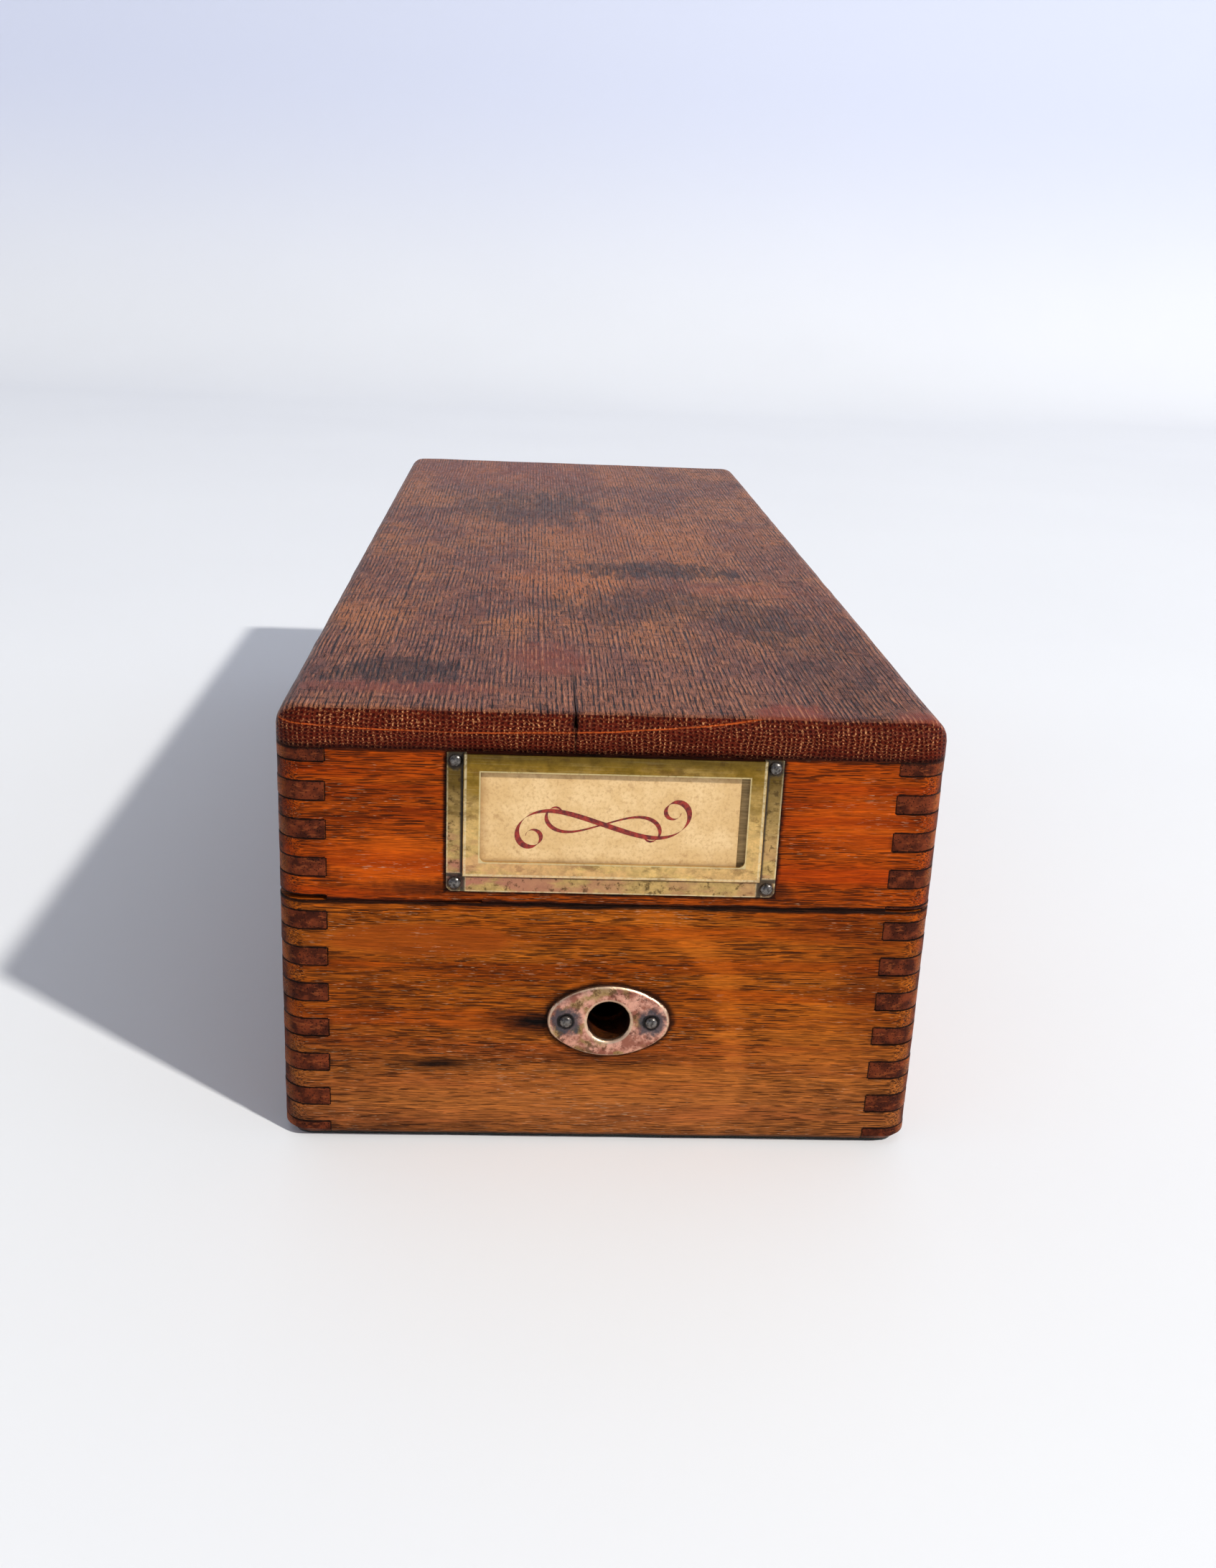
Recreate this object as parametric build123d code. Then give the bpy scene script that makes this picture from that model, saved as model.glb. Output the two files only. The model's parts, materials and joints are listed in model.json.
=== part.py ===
from build123d import *
import math
import os

# A long oak box for 3 x 5 inch cards. The carcase was finger-jointed as one piece and sawn apart
# into a base and a lid, hinged at the back. The front carries a brass label holder on the lid and
# an oval plate round the card rod's hole on the base. Inside, a slotted floor carries a follower
# that slides along the slot and is clamped by a thumb nut.
# Millimetres. X is the width, Y runs from the front to the back, Z is up. The origin is the
# middle of the underside.

# Carcase
box_width = 158.0
box_length = 440.0
base_height = 63.7
lid_height = 47.1
wall = 11.8
panel_thickness = 9.0
corner_radius = 7.0
top_edge_radius = 5.0
foot_edge_ease = 1.5
seam_edge_ease = 0.35

# Finger joints
finger_height = 4.7625
base_first_finger = 3.7
lid_first_finger = 1.3

# Felt under the box
felt_thickness = 1.2
felt_inset = 2.2
felt_corner_radius = 4.8

# Bottom board in its rabbet
bottom_thickness = 6.0
rabbet_width = 5.0
bottom_play = 0.2
brad_width = 1.2
brad_head_length = 2.4
brad_head_height = 0.6
brad_length = 14.0
brads_per_side = 5
brads_per_end = 2

# Card rod
rod_x = 1.2
rod_height = 33.3
rod_hole_radius = 5.3
rod_socket_depth = 5.0
card_hole_height = 12.7

# Slotted floor
floor_thickness = 8.0
floor_play = 0.2
slot_width = 9.0
cleat_width = 14.0

# Oval rod plate
plate_width = 30.1
plate_height = 18.8
plate_end_radius = 6.3
plate_thickness = 1.3
plate_edge_ease = 0.45
plate_rim_ease = 0.4
plate_pin_spacing = 21.0

# Label holder
holder_x = 0.35
holder_width = 78.5
holder_height = 34.6
holder_top_gap = 0.15
sheet_thickness = 0.7
side_flange = 3.85
bottom_flange = 4.15
frame_rise = 1.9
frame_edge_radius = 0.35
side_bar = 4.0
bottom_bar = 3.85
top_bar = 4.3
window_corner_radius = 1.5
flange_corner_radius = 1.6
holder_pin_side = 2.0
holder_pin_top = 1.9
holder_pin_bottom = 2.2

# Label card
card_thickness = 0.4
card_play = 0.25
card_side_gap = 5.15
card_top_gap = 1.15

# Domed pins of the plate and the holder
pin_head_radius = 1.4
pin_head_height = 0.95
pin_shank_width = 1.2
pin_end_gap = 2.8
pin_play = 0.05

# Butt hinges
hinge_inset = 15.0
hinge_length = 38.0
hinge_knuckles = 3
leaf_width = 8.5
leaf_thickness = 1.3
barrel_radius = 2.3
barrel_gap = 0.25
hinge_pin_radius = 1.1
running_play = 0.05
knuckle_play = 0.2
mortise_play = 0.1
hinge_screws = 2
screw_head_radius = 1.9
screw_shank_radius = 0.95
screw_length = 9.0

# Follower
follower_back_gap = 28.2
follower_lean = 12.0
support_side_gap = 15.2
support_top_gap = 14.6
support_thickness = 8.0
support_corner_radius = 14.0
bracket_width = 40.0
bracket_sheet = 1.6
bracket_sole = 54.0
bracket_flange = 38.0
bracket_bend_radius = 1.0
follower_rod_play = 0.7
slide_play = 0.1
guide_play = 0.25
guide_length = 40.0
clamp_play = 0.15
clamp_width = 26.0
clamp_length = 40.0
clamp_thickness = 2.0
stud_y = 30.0
stud_radius = 2.0
stud_head_radius = 4.0
stud_head_height = 2.2
stud_tail = 1.0
washer_radius = 6.5
washer_thickness = 0.8
nut_radius = 8.0
nut_height = 4.0
nut_teeth = 28
nut_tooth_depth = 0.7
support_screw_inset = 6.0
support_screw_drop = 11.0
support_screw_head = 2.8
support_screw_head_height = 1.4
support_screw_radius = 1.3
support_screw_length = 6.0

# Flat facets that stand in for the curves of the small fasteners. A dome's rings are given as
# shares of its radius and its height.
shank_sides = 6
head_sides = 12
dome_sides = 16
dome_rings = ((1.0, 0.0), (0.87, 0.45), (0.58, 0.82), (0.24, 1.0))
bearing_sides = 24
screw_tip_radius = 0.15

# Levels and faces that follow from the sizes above
base_low = felt_thickness
seam = base_low + base_height
lid_high = seam + lid_height
panel_low = lid_high - panel_thickness
half_width = box_width / 2
half_length = box_length / 2
inner_x = half_width - wall
inner_y = half_length - wall
bottom_high = base_low + bottom_thickness
rod_z = base_low + rod_height
floor_high = rod_z - card_hole_height
floor_low = floor_high - floor_thickness
front_y = -half_length
overcut = 1.0


def block(x_low, x_high, y_low, y_high, z_low, z_high):
    """A box between two corners."""
    size = Box(x_high - x_low, y_high - y_low, z_high - z_low)
    return Pos((x_low + x_high) / 2, (y_low + y_high) / 2, (z_low + z_high) / 2) * size


def round_y(radius, x, z, y_low, y_high):
    """A cylinder that lies along Y."""
    return Pos(x, (y_low + y_high) / 2, z) * Rot(X=90) * Cylinder(radius, y_high - y_low)


def stump(sides, low_radius, high_radius, height):
    """A straight or narrowing stump of flat faces that stands on the plane Z = 0."""
    draw_in = (low_radius - high_radius) * math.cos(math.pi / sides)
    draft = math.degrees(math.atan(draw_in / height))
    return extrude(RegularPolygon(low_radius, sides), height, taper=draft)


def facets_x(sides, radius, y, z, x_low, x_high):
    """A many-sided bar that lies along X."""
    return Pos(x_low, y, z) * Rot(Y=90) * stump(sides, radius, radius, x_high - x_low)


def facets_y(sides, radius, x, z, y_low, y_high):
    """A many-sided bar that lies along Y."""
    return Pos(x, y_low, z) * Rot(X=-90) * stump(sides, radius, radius, y_high - y_low)


def facets_z(sides, radius, x, y, z_low, z_high):
    """A many-sided bar that stands upright."""
    return Pos(x, y, z_low) * stump(sides, radius, radius, z_high - z_low)


def dome(radius, height):
    """A low dome of flat facets that stands on the plane Z = 0."""
    tiers = [
        Pos(0, 0, low * height) * stump(dome_sides, wide * radius, narrow * radius, (high - low) * height)
        for (wide, low), (narrow, high) in zip(dome_rings, dome_rings[1:])
    ]
    return tiers[0] + tiers[1:]


# Finger-jointed boards


def finger_zones(z_low, z_high, first):
    """The fingers of a corner from the bottom up: low, high, and whether the side board owns it."""
    zones = []
    low = z_low
    high = z_low + first
    side_owns = True
    while low < z_high - 0.01:
        zones.append((low, min(high, z_high), side_owns))
        low = high
        high = high + finger_height
        side_owns = not side_owns
    return zones


def corner_cutter(side, end, z_low, z_high):
    """The square where two walls cross, run out past the outer faces."""
    x_out = side * (half_width + overcut)
    y_out = end * (half_length + overcut)
    x_in = side * inner_x
    y_in = end * inner_y
    x_pair = sorted((x_in, x_out))
    y_pair = sorted((y_in, y_out))
    return block(*x_pair, *y_pair, z_low, z_high)


def side_board(side, z_low, z_high, first):
    """A long board, with the end boards' fingers cut away at both ends."""
    x_pair = sorted((side * inner_x, side * half_width))
    board = block(*x_pair, -half_length, half_length, z_low, z_high)
    for end in (-1, 1):
        for low, high, side_owns in finger_zones(z_low, z_high, first):
            if not side_owns:
                board -= corner_cutter(side, end, low, high)
    return board


def end_board(end, z_low, z_high, first):
    """A short board, with the side boards' fingers cut away at both ends."""
    y_pair = sorted((end * inner_y, end * half_length))
    board = block(-half_width, half_width, *y_pair, z_low, z_high)
    for side in (-1, 1):
        for low, high, side_owns in finger_zones(z_low, z_high, first):
            if side_owns:
                board -= corner_cutter(side, end, low, high)
    return board


def base_outline():
    """The rounded outside of the base, with its foot and its seam edge eased."""
    outline = RectangleRounded(box_width, box_length, corner_radius)
    body = Pos(0, 0, base_low) * extrude(outline, base_height)
    body = chamfer(body.faces().sort_by(Axis.Z)[0].edges(), foot_edge_ease)
    return chamfer(body.faces().sort_by(Axis.Z)[-1].edges(), seam_edge_ease)


def lid_outline():
    """The rounded outside of the lid, with its top rounded over and its seam edge eased."""
    outline = RectangleRounded(box_width, box_length, corner_radius)
    body = Pos(0, 0, seam) * extrude(outline, lid_height)
    body = fillet(body.faces().sort_by(Axis.Z)[-1].edges(), top_edge_radius)
    return chamfer(body.faces().sort_by(Axis.Z)[0].edges(), seam_edge_ease)


# Fasteners


def brad_places():
    """Where the bottom board is nailed, in the middle of the rabbet."""
    x_row = inner_x + rabbet_width / 2
    y_row = inner_y + rabbet_width / 2
    side_step = 2 * inner_y / brads_per_side
    end_step = 2 * inner_x / brads_per_end
    places = []
    for side in (-1, 1):
        for n in range(brads_per_side):
            places.append((side * x_row, -inner_y + (n + 0.5) * side_step))
        for n in range(brads_per_end):
            places.append((-inner_x + (n + 0.5) * end_step, side * y_row))
    return places


def square_bar(width, length):
    """A square bar that stands on the plane Z = 0."""
    return Pos(0, 0, length / 2) * Box(width, width, length)


def brad(x, y, play=0.0):
    """A cut brad driven up from below, or the hole it fits when given some play."""
    head_high = brad_head_height + play
    head = Box(brad_head_length + 2 * play, brad_width + 2 * play, head_high)
    shank = square_bar(brad_width + 2 * play, brad_length + play)
    return Pos(x, y, base_low) * (Pos(0, 0, head_high / 2) * head + shank)


pin_shank_length = wall - pin_end_gap


def domed_pin(x, z, y_seat, play=0.0):
    """A domed pin driven along +Y, its head resting on y_seat. With play it is the shank's hole."""
    shank = Rot(X=-90) * square_bar(pin_shank_width + 2 * play, pin_shank_length + play)
    if play:
        start = Rot(X=90) * square_bar(pin_shank_width + 2 * play, overcut)
        return Pos(x, y_seat, z) * (shank + start)
    head = Rot(X=90) * dome(pin_head_radius, pin_head_height)
    return Pos(x, y_seat, z) * (head + shank)


def hinge_screw(x, y, down, play=0.0):
    """A pointed countersunk screw, flush in a leaf, or its hole when given some play."""
    head_height = screw_head_radius - screw_shank_radius
    head_radius = screw_head_radius + play
    shank_radius = screw_shank_radius + play
    shank_height = screw_length - head_height + play
    head = stump(head_sides, head_radius, shank_radius, head_height)
    shank = stump(shank_sides, shank_radius, screw_tip_radius + play, shank_height)
    screw = head + Pos(0, 0, head_height) * shank
    if down:
        screw = Rot(X=180) * screw
    return Pos(x, y, seam) * screw


# Hinges

hinge_axis_y = half_length + barrel_gap + barrel_radius
hinge_x = half_width - hinge_inset - hinge_length / 2
screw_row_y = half_length - leaf_width / 2
hinge_screw_spacing = hinge_length / hinge_screws


def leaf_levels(on_lid):
    """Lowest and highest level of a leaf, flush with the edge of its board."""
    if on_lid:
        return seam, seam + leaf_thickness
    return seam - leaf_thickness, seam


def hinge_screw_places(x_middle):
    """The screws of one leaf, evenly spaced along it."""
    first = -(hinge_screws - 1) / 2
    return [(x_middle + (first + n) * hinge_screw_spacing, screw_row_y) for n in range(hinge_screws)]


def screws_of_leaves(on_lid, play=0.0):
    """All the screws of the leaves on one side of the seam."""
    return [
        hinge_screw(x, y, not on_lid, play)
        for side in (-1, 1)
        for x, y in hinge_screw_places(side * hinge_x)
    ]


def leaf_mortise(x_middle, on_lid):
    """The pocket for a leaf in the edge of its board."""
    z_low, z_high = leaf_levels(on_lid)
    if on_lid:
        z_low -= overcut
    else:
        z_high += overcut
    half = hinge_length / 2 + mortise_play
    y_low = half_length - leaf_width - mortise_play
    return block(x_middle - half, x_middle + half, y_low, half_length + overcut, z_low, z_high)


def hinge_leaf(x_middle, on_lid):
    """A leaf with its knuckles. The base leaf has the odd ones out at both ends."""
    z_low, z_high = leaf_levels(on_lid)
    x_low = x_middle - hinge_length / 2
    knuckle_length = hinge_length / hinge_knuckles
    leaf = block(x_low, x_low + hinge_length, half_length - leaf_width, half_length, z_low, z_high)
    for n in range(1 if on_lid else 0, hinge_knuckles, 2):
        k_low = x_low + n * knuckle_length + (knuckle_play / 2 if n > 0 else 0)
        last = n == hinge_knuckles - 1
        k_high = x_low + (n + 1) * knuckle_length - (0 if last else knuckle_play / 2)
        leaf += block(k_low, k_high, half_length - overcut, hinge_axis_y, z_low, z_high)
        leaf += facets_x(bearing_sides, barrel_radius, hinge_axis_y, seam, k_low, k_high)
    bore_radius = hinge_pin_radius + running_play
    leaf -= facets_x(
        bearing_sides,
        bore_radius,
        hinge_axis_y,
        seam,
        x_low - overcut,
        x_low + hinge_length + overcut,
    )
    for x, y in hinge_screw_places(x_middle):
        leaf -= hinge_screw(x, y, not on_lid, pin_play)
    return leaf


def hinge_pin(x_middle):
    """A pin that ends flush with the outer knuckles."""
    low = x_middle - hinge_length / 2
    return facets_x(bearing_sides, hinge_pin_radius, hinge_axis_y, seam, low, low + hinge_length)


# Base


def rabbet():
    """The step round the foot of the walls that the bottom board lies in."""
    half_x = inner_x + rabbet_width
    half_y = inner_y + rabbet_width
    return block(-half_x, half_x, -half_y, half_y, base_low - overcut, bottom_high)


def base_boards():
    """The four walls of the base, with everything that is cut into them."""
    outline = base_outline()
    step = rabbet()
    boards = {
        "base_side_left": side_board(-1, base_low, seam, base_first_finger),
        "base_side_right": side_board(1, base_low, seam, base_first_finger),
        "base_front": end_board(-1, base_low, seam, base_first_finger),
        "base_back": end_board(1, base_low, seam, base_first_finger),
    }
    boards = {name: (board & outline) - step for name, board in boards.items()}
    for x, y in brad_places():
        if x > inner_x:
            name = "base_side_right"
        elif x < -inner_x:
            name = "base_side_left"
        else:
            name = "base_front" if y < 0 else "base_back"
        boards[name] -= brad(x, y, pin_play)
    boards["base_front"] -= round_y(rod_hole_radius, rod_x, rod_z, front_y - overcut, -inner_y + overcut)
    for x in plate_pin_places():
        boards["base_front"] -= domed_pin(x, rod_z, front_y, pin_play)
    socket_end = inner_y + rod_socket_depth
    boards["base_back"] -= round_y(rod_hole_radius, rod_x, rod_z, inner_y - overcut, socket_end)
    for side in (-1, 1):
        boards["base_back"] -= leaf_mortise(side * hinge_x, False)
    for hole in screws_of_leaves(False, pin_play):
        boards["base_back"] -= hole
    return boards


def bottom_board():
    """The bottom, nailed into the rabbet from below."""
    half_x = inner_x + rabbet_width - bottom_play
    half_y = inner_y + rabbet_width - bottom_play
    board = block(-half_x, half_x, -half_y, half_y, base_low, bottom_high)
    for x, y in brad_places():
        board -= brad(x, y, pin_play)
    return board


def felt_sheet():
    """Felt glued under the box, cut a little smaller than the foot."""
    outline = RectangleRounded(
        box_width - 2 * felt_inset, box_length - 2 * felt_inset, felt_corner_radius
    )
    return extrude(outline, felt_thickness)


def floor_cleat(side):
    """A strip on the bottom along a side wall that carries the slotted floor."""
    x_pair = sorted((side * (inner_x - floor_play), side * (inner_x - floor_play - cleat_width)))
    half_y = inner_y - floor_play
    return block(*x_pair, -half_y, half_y, bottom_high, floor_low)


def floor_board(side):
    """One half of the slotted floor that the cards stand on."""
    x_pair = sorted((side * slot_width / 2, side * (inner_x - floor_play)))
    half_y = inner_y - floor_play
    return block(*x_pair, -half_y, half_y, floor_low, floor_high)


# Rod plate


def plate_pin_places():
    """The X of the plate's two pins, left and right of the hole."""
    return [rod_x - plate_pin_spacing / 2, rod_x + plate_pin_spacing / 2]


def oval(width, height, end_radius):
    """An oval face of four arcs that meet smoothly."""
    a = width / 2
    b = height / 2
    end_x = a - end_radius
    side_radius = (end_x**2 + b**2 - end_radius**2) / (2 * (b - end_radius))
    reach = end_radius / (side_radius - end_radius)
    x = end_x * (1 + reach)
    y = (side_radius - b) * reach
    outline = [
        ThreePointArc((x, -y), (a, 0), (x, y)),
        ThreePointArc((x, y), (0, b), (-x, y)),
        ThreePointArc((-x, y), (-a, 0), (-x, -y)),
        ThreePointArc((-x, -y), (0, -b), (x, -y)),
    ]
    return make_face(outline)


def rod_plate():
    """The oval plate round the rod's hole, its edge and its rim eased."""
    plate = extrude(Plane.XZ * oval(plate_width, plate_height, plate_end_radius), plate_thickness)
    plate -= round_y(rod_hole_radius, 0, 0, -plate_thickness - overcut, overcut)
    face = plate.faces().sort_by(Axis.Y)[0]
    rim = face.edges().sort_by_distance((0, -plate_thickness, 0))[0]
    plate = chamfer(rim, plate_rim_ease)
    face = plate.faces().sort_by(Axis.Y)[0]
    edge = face.edges().sort_by_distance((0, -plate_thickness, 0))[1:]
    plate = chamfer(edge, plate_edge_ease)
    plate = Pos(rod_x, front_y, rod_z) * plate
    for x in plate_pin_places():
        plate -= domed_pin(x, rod_z, front_y - plate_thickness, pin_play)
    return plate


# Lid


def lid_boards():
    """The four walls of the lid and its top panel."""
    outline = lid_outline()
    boards = {
        "lid_side_left": side_board(-1, seam, panel_low, lid_first_finger),
        "lid_side_right": side_board(1, seam, panel_low, lid_first_finger),
        "lid_front": end_board(-1, seam, panel_low, lid_first_finger),
        "lid_back": end_board(1, seam, panel_low, lid_first_finger),
        "lid_panel": block(-half_width, half_width, -half_length, half_length, panel_low, lid_high),
    }
    # The thin finger that the saw left at the lower left corner of the front has broken off.
    boards["lid_side_left"] -= corner_cutter(-1, -1, seam - overcut, seam + lid_first_finger)
    boards = {name: board & outline for name, board in boards.items()}
    for x, z in holder_pin_places():
        boards["lid_front"] -= domed_pin(x, z, front_y, pin_play)
    for side in (-1, 1):
        boards["lid_back"] -= leaf_mortise(side * hinge_x, True)
    for hole in screws_of_leaves(True, pin_play):
        boards["lid_back"] -= hole
    return boards


# Label holder

holder_high = panel_low - holder_top_gap
holder_low = holder_high - holder_height
holder_left = holder_x - holder_width / 2
holder_right = holder_x + holder_width / 2
frame_left = holder_left + side_flange
frame_right = holder_right - side_flange
frame_low = holder_low + bottom_flange
pocket_left = frame_left + sheet_thickness
pocket_right = frame_right - sheet_thickness
pocket_low = frame_low + sheet_thickness
pocket_depth = frame_rise - sheet_thickness


def holder_pin_places():
    """The holder's four pins, in the corners of its flange."""
    return [
        (x, z)
        for x in (holder_left + holder_pin_side, holder_right - holder_pin_side)
        for z in (holder_low + holder_pin_bottom, holder_high - holder_pin_top)
    ]


def label_holder():
    """A flange on three sides and a raised frame, open at the back and at the top."""
    back = front_y
    flange = block(holder_left, holder_right, back - sheet_thickness, back, holder_low, holder_high)
    low_corners = flange.edges().filter_by(Axis.Y).group_by(Axis.Z)[0]
    flange = fillet(low_corners, flange_corner_radius)
    frame = block(frame_left, frame_right, back - frame_rise, back, frame_low, holder_high)
    face = frame.faces().sort_by(Axis.Y)[0]
    outer_edges = face.edges().sort_by(Axis.Z)[:3]
    frame = fillet(outer_edges, frame_edge_radius)
    holder = flange + frame
    holder -= block(
        pocket_left, pocket_right, back - pocket_depth, back + overcut, pocket_low, holder_high + overcut
    )
    window = block(
        frame_left + side_bar,
        frame_right - side_bar,
        back - frame_rise - overcut,
        back,
        frame_low + bottom_bar,
        holder_high - top_bar,
    )
    low_corners = window.edges().filter_by(Axis.Y).group_by(Axis.Z)[0]
    holder -= fillet(low_corners, window_corner_radius)
    for x, z in holder_pin_places():
        holder -= domed_pin(x, z, front_y - sheet_thickness, pin_play)
    return holder


def label_card():
    """The paper card, pushed to the left of the holder's pocket and standing on its lip."""
    y_high = front_y - card_play
    return block(
        pocket_left + card_play,
        pocket_right - card_side_gap,
        y_high - card_thickness,
        y_high,
        pocket_low,
        holder_high - card_top_gap,
    )


# Follower, set out from the foot of its bracket

bracket_y = inner_y - follower_back_gap - bracket_sole
sole_low = floor_high + slide_play
support_width = 2 * (inner_x - support_side_gap)
support_height = (panel_low - support_top_gap - sole_low) / math.cos(math.radians(follower_lean))
sole_high = sole_low + bracket_sheet
stud_place_y = bracket_y + stud_y
clamp_high = floor_low - clamp_play
clamp_low = clamp_high - clamp_thickness
washer_high = sole_high + washer_thickness
nut_high = washer_high + nut_height


def leaned(shape):
    """Tips a shape that was drawn upright at the bracket's bend back by the follower's lean."""
    return Pos(0, bracket_y, sole_low) * Rot(X=-follower_lean) * shape


def stud_hole(z_low, z_high):
    """The stud's hole through what lies between two levels."""
    radius = stud_radius + pin_play
    low = z_low - overcut
    return facets_z(bearing_sides, radius, 0, stud_place_y, low, z_high + overcut)


def rod_way(radius):
    """The rod's way through the follower."""
    reach = support_height
    return round_y(radius, rod_x, rod_z, bracket_y - reach, bracket_y + reach)


def support_screw(side, play=0.0):
    """A cheese-head screw through the bracket into the support, or its hole with some play."""
    x = side * (bracket_width / 2 - support_screw_inset)
    z = bracket_flange - support_screw_drop
    shank_radius = support_screw_radius + play
    tip = -support_screw_length - play
    screw = facets_y(shank_sides, shank_radius, x, z, tip, bracket_sheet + play)
    if not play:
        head_high = bracket_sheet + support_screw_head_height
        screw += facets_y(head_sides, support_screw_head, x, z, bracket_sheet, head_high)
    return leaned(screw)


def follower_support():
    """The leaning board that holds the cards up, its foot cut level with the floor."""
    half = support_width / 2
    board = block(-half, half, -support_thickness, 0, -support_thickness, support_height)
    top_corners = board.edges().filter_by(Axis.Y).group_by(Axis.Z)[-1]
    board = leaned(fillet(top_corners, support_corner_radius))
    reach = support_height
    board -= block(-reach, reach, bracket_y - reach, bracket_y + reach, sole_low - reach, sole_low)
    board -= rod_way(rod_hole_radius + follower_rod_play)
    for side in (-1, 1):
        board -= support_screw(side, pin_play)
    return board


def follower_bracket():
    """Sheet bent to a sole and a flange that leans with the support."""
    lean = math.radians(follower_lean)
    flange_top = (bracket_flange * math.sin(lean), bracket_flange * math.cos(lean))
    offset = (bracket_sheet * math.cos(lean), -bracket_sheet * math.sin(lean))
    inner_y_of_bend = bracket_sheet * (1 + math.sin(lean)) / math.cos(lean)
    side_view = Polyline(
        (bracket_sole, 0),
        (0, 0),
        flange_top,
        (flange_top[0] + offset[0], flange_top[1] + offset[1]),
        (inner_y_of_bend, bracket_sheet),
        (bracket_sole, bracket_sheet),
        close=True,
    )
    sheet = extrude(Plane.YZ * make_face(side_view), bracket_width / 2, both=True)
    bend = sheet.edges().filter_by(Axis.X)
    outer = bend.sort_by_distance((0, 0, 0))[0]
    sheet = fillet(outer, bracket_bend_radius + bracket_sheet)
    inner = sheet.edges().filter_by(Axis.X).sort_by_distance((0, inner_y_of_bend, bracket_sheet))[0]
    sheet = fillet(inner, bracket_bend_radius)
    sheet = Pos(0, bracket_y, sole_low) * sheet
    sheet -= rod_way(rod_hole_radius + follower_rod_play)
    sheet -= stud_hole(sole_low, sole_high)
    for side in (-1, 1):
        sheet -= support_screw(side, pin_play)
    return sheet


def slot_guide():
    """The bar under the sole that runs in the slot."""
    half_x = slot_width / 2 - guide_play
    half_y = guide_length / 2
    bar = block(-half_x, half_x, stud_place_y - half_y, stud_place_y + half_y, clamp_high, sole_low)
    return bar - stud_hole(clamp_high, sole_low)


def clamp_plate():
    """The plate under the floor that the stud draws up."""
    half_x = clamp_width / 2
    half_y = clamp_length / 2
    plate = block(
        -half_x, half_x, stud_place_y - half_y, stud_place_y + half_y, clamp_low, clamp_high
    )
    return plate - stud_hole(clamp_low, clamp_high)


def clamp_stud():
    """The stud from under the clamp plate up through the thumb nut."""
    head_low = clamp_low - stud_head_height
    head = Pos(0, stud_place_y, head_low) * extrude(RegularPolygon(stud_head_radius, 6), stud_head_height)
    stud = facets_z(bearing_sides, stud_radius, 0, stud_place_y, clamp_low, nut_high + stud_tail)
    return head + stud


def clamp_washer():
    """The washer between the sole and the thumb nut."""
    disc = facets_z(bearing_sides, washer_radius, 0, stud_place_y, sole_high, washer_high)
    return disc - stud_hole(sole_high, washer_high)


def thumb_nut():
    """The straight-knurled nut that clamps the follower."""
    rim = []
    for n in range(2 * nut_teeth):
        radius = nut_radius - nut_tooth_depth * (n % 2)
        angle = math.pi * n / nut_teeth
        rim.append((radius * math.cos(angle), radius * math.sin(angle)))
    knurl = extrude(make_face(Polyline(*rim, close=True)), nut_high - washer_high)
    nut = Pos(0, stud_place_y, washer_high) * knurl
    return nut - stud_hole(washer_high, nut_high)


# Writing the nodes

nodes = {
    "felt": felt_sheet(),
    "bottom_board": bottom_board(),
    "bottom_brads": Compound(children=[brad(x, y) for x, y in brad_places()]),
    "floor_cleat_left": floor_cleat(-1),
    "floor_cleat_right": floor_cleat(1),
    "floor_board_left": floor_board(-1),
    "floor_board_right": floor_board(1),
    "rod_plate": rod_plate(),
    "rod_plate_pins": Compound(
        children=[domed_pin(x, rod_z, front_y - plate_thickness) for x in plate_pin_places()]
    ),
    "label_holder": label_holder(),
    "label_holder_pins": Compound(
        children=[domed_pin(x, z, front_y - sheet_thickness) for x, z in holder_pin_places()]
    ),
    "label_card": label_card(),
    "base_hinge_screws": Compound(children=screws_of_leaves(False)),
    "lid_hinge_screws": Compound(children=screws_of_leaves(True)),
    "follower_support": follower_support(),
    "follower_bracket": follower_bracket(),
    "follower_screws": Compound(children=[support_screw(side) for side in (-1, 1)]),
    "slot_guide": slot_guide(),
    "clamp_plate": clamp_plate(),
    "clamp_stud": clamp_stud(),
    "clamp_washer": clamp_washer(),
    "thumb_nut": thumb_nut(),
}
nodes.update(base_boards())
nodes.update(lid_boards())
for side, word in ((-1, "left"), (1, "right")):
    nodes[f"hinge_{word}_base_leaf"] = hinge_leaf(side * hinge_x, False)
    nodes[f"hinge_{word}_lid_leaf"] = hinge_leaf(side * hinge_x, True)
    nodes[f"hinge_{word}_pin"] = hinge_pin(side * hinge_x)

os.makedirs("parts", exist_ok=True)
for name, shape in nodes.items():
    export_step(shape, f"parts/{name}.step")
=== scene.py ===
import json
import math

import bmesh
import bpy
from mathutils import Matrix, Vector, noise

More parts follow.
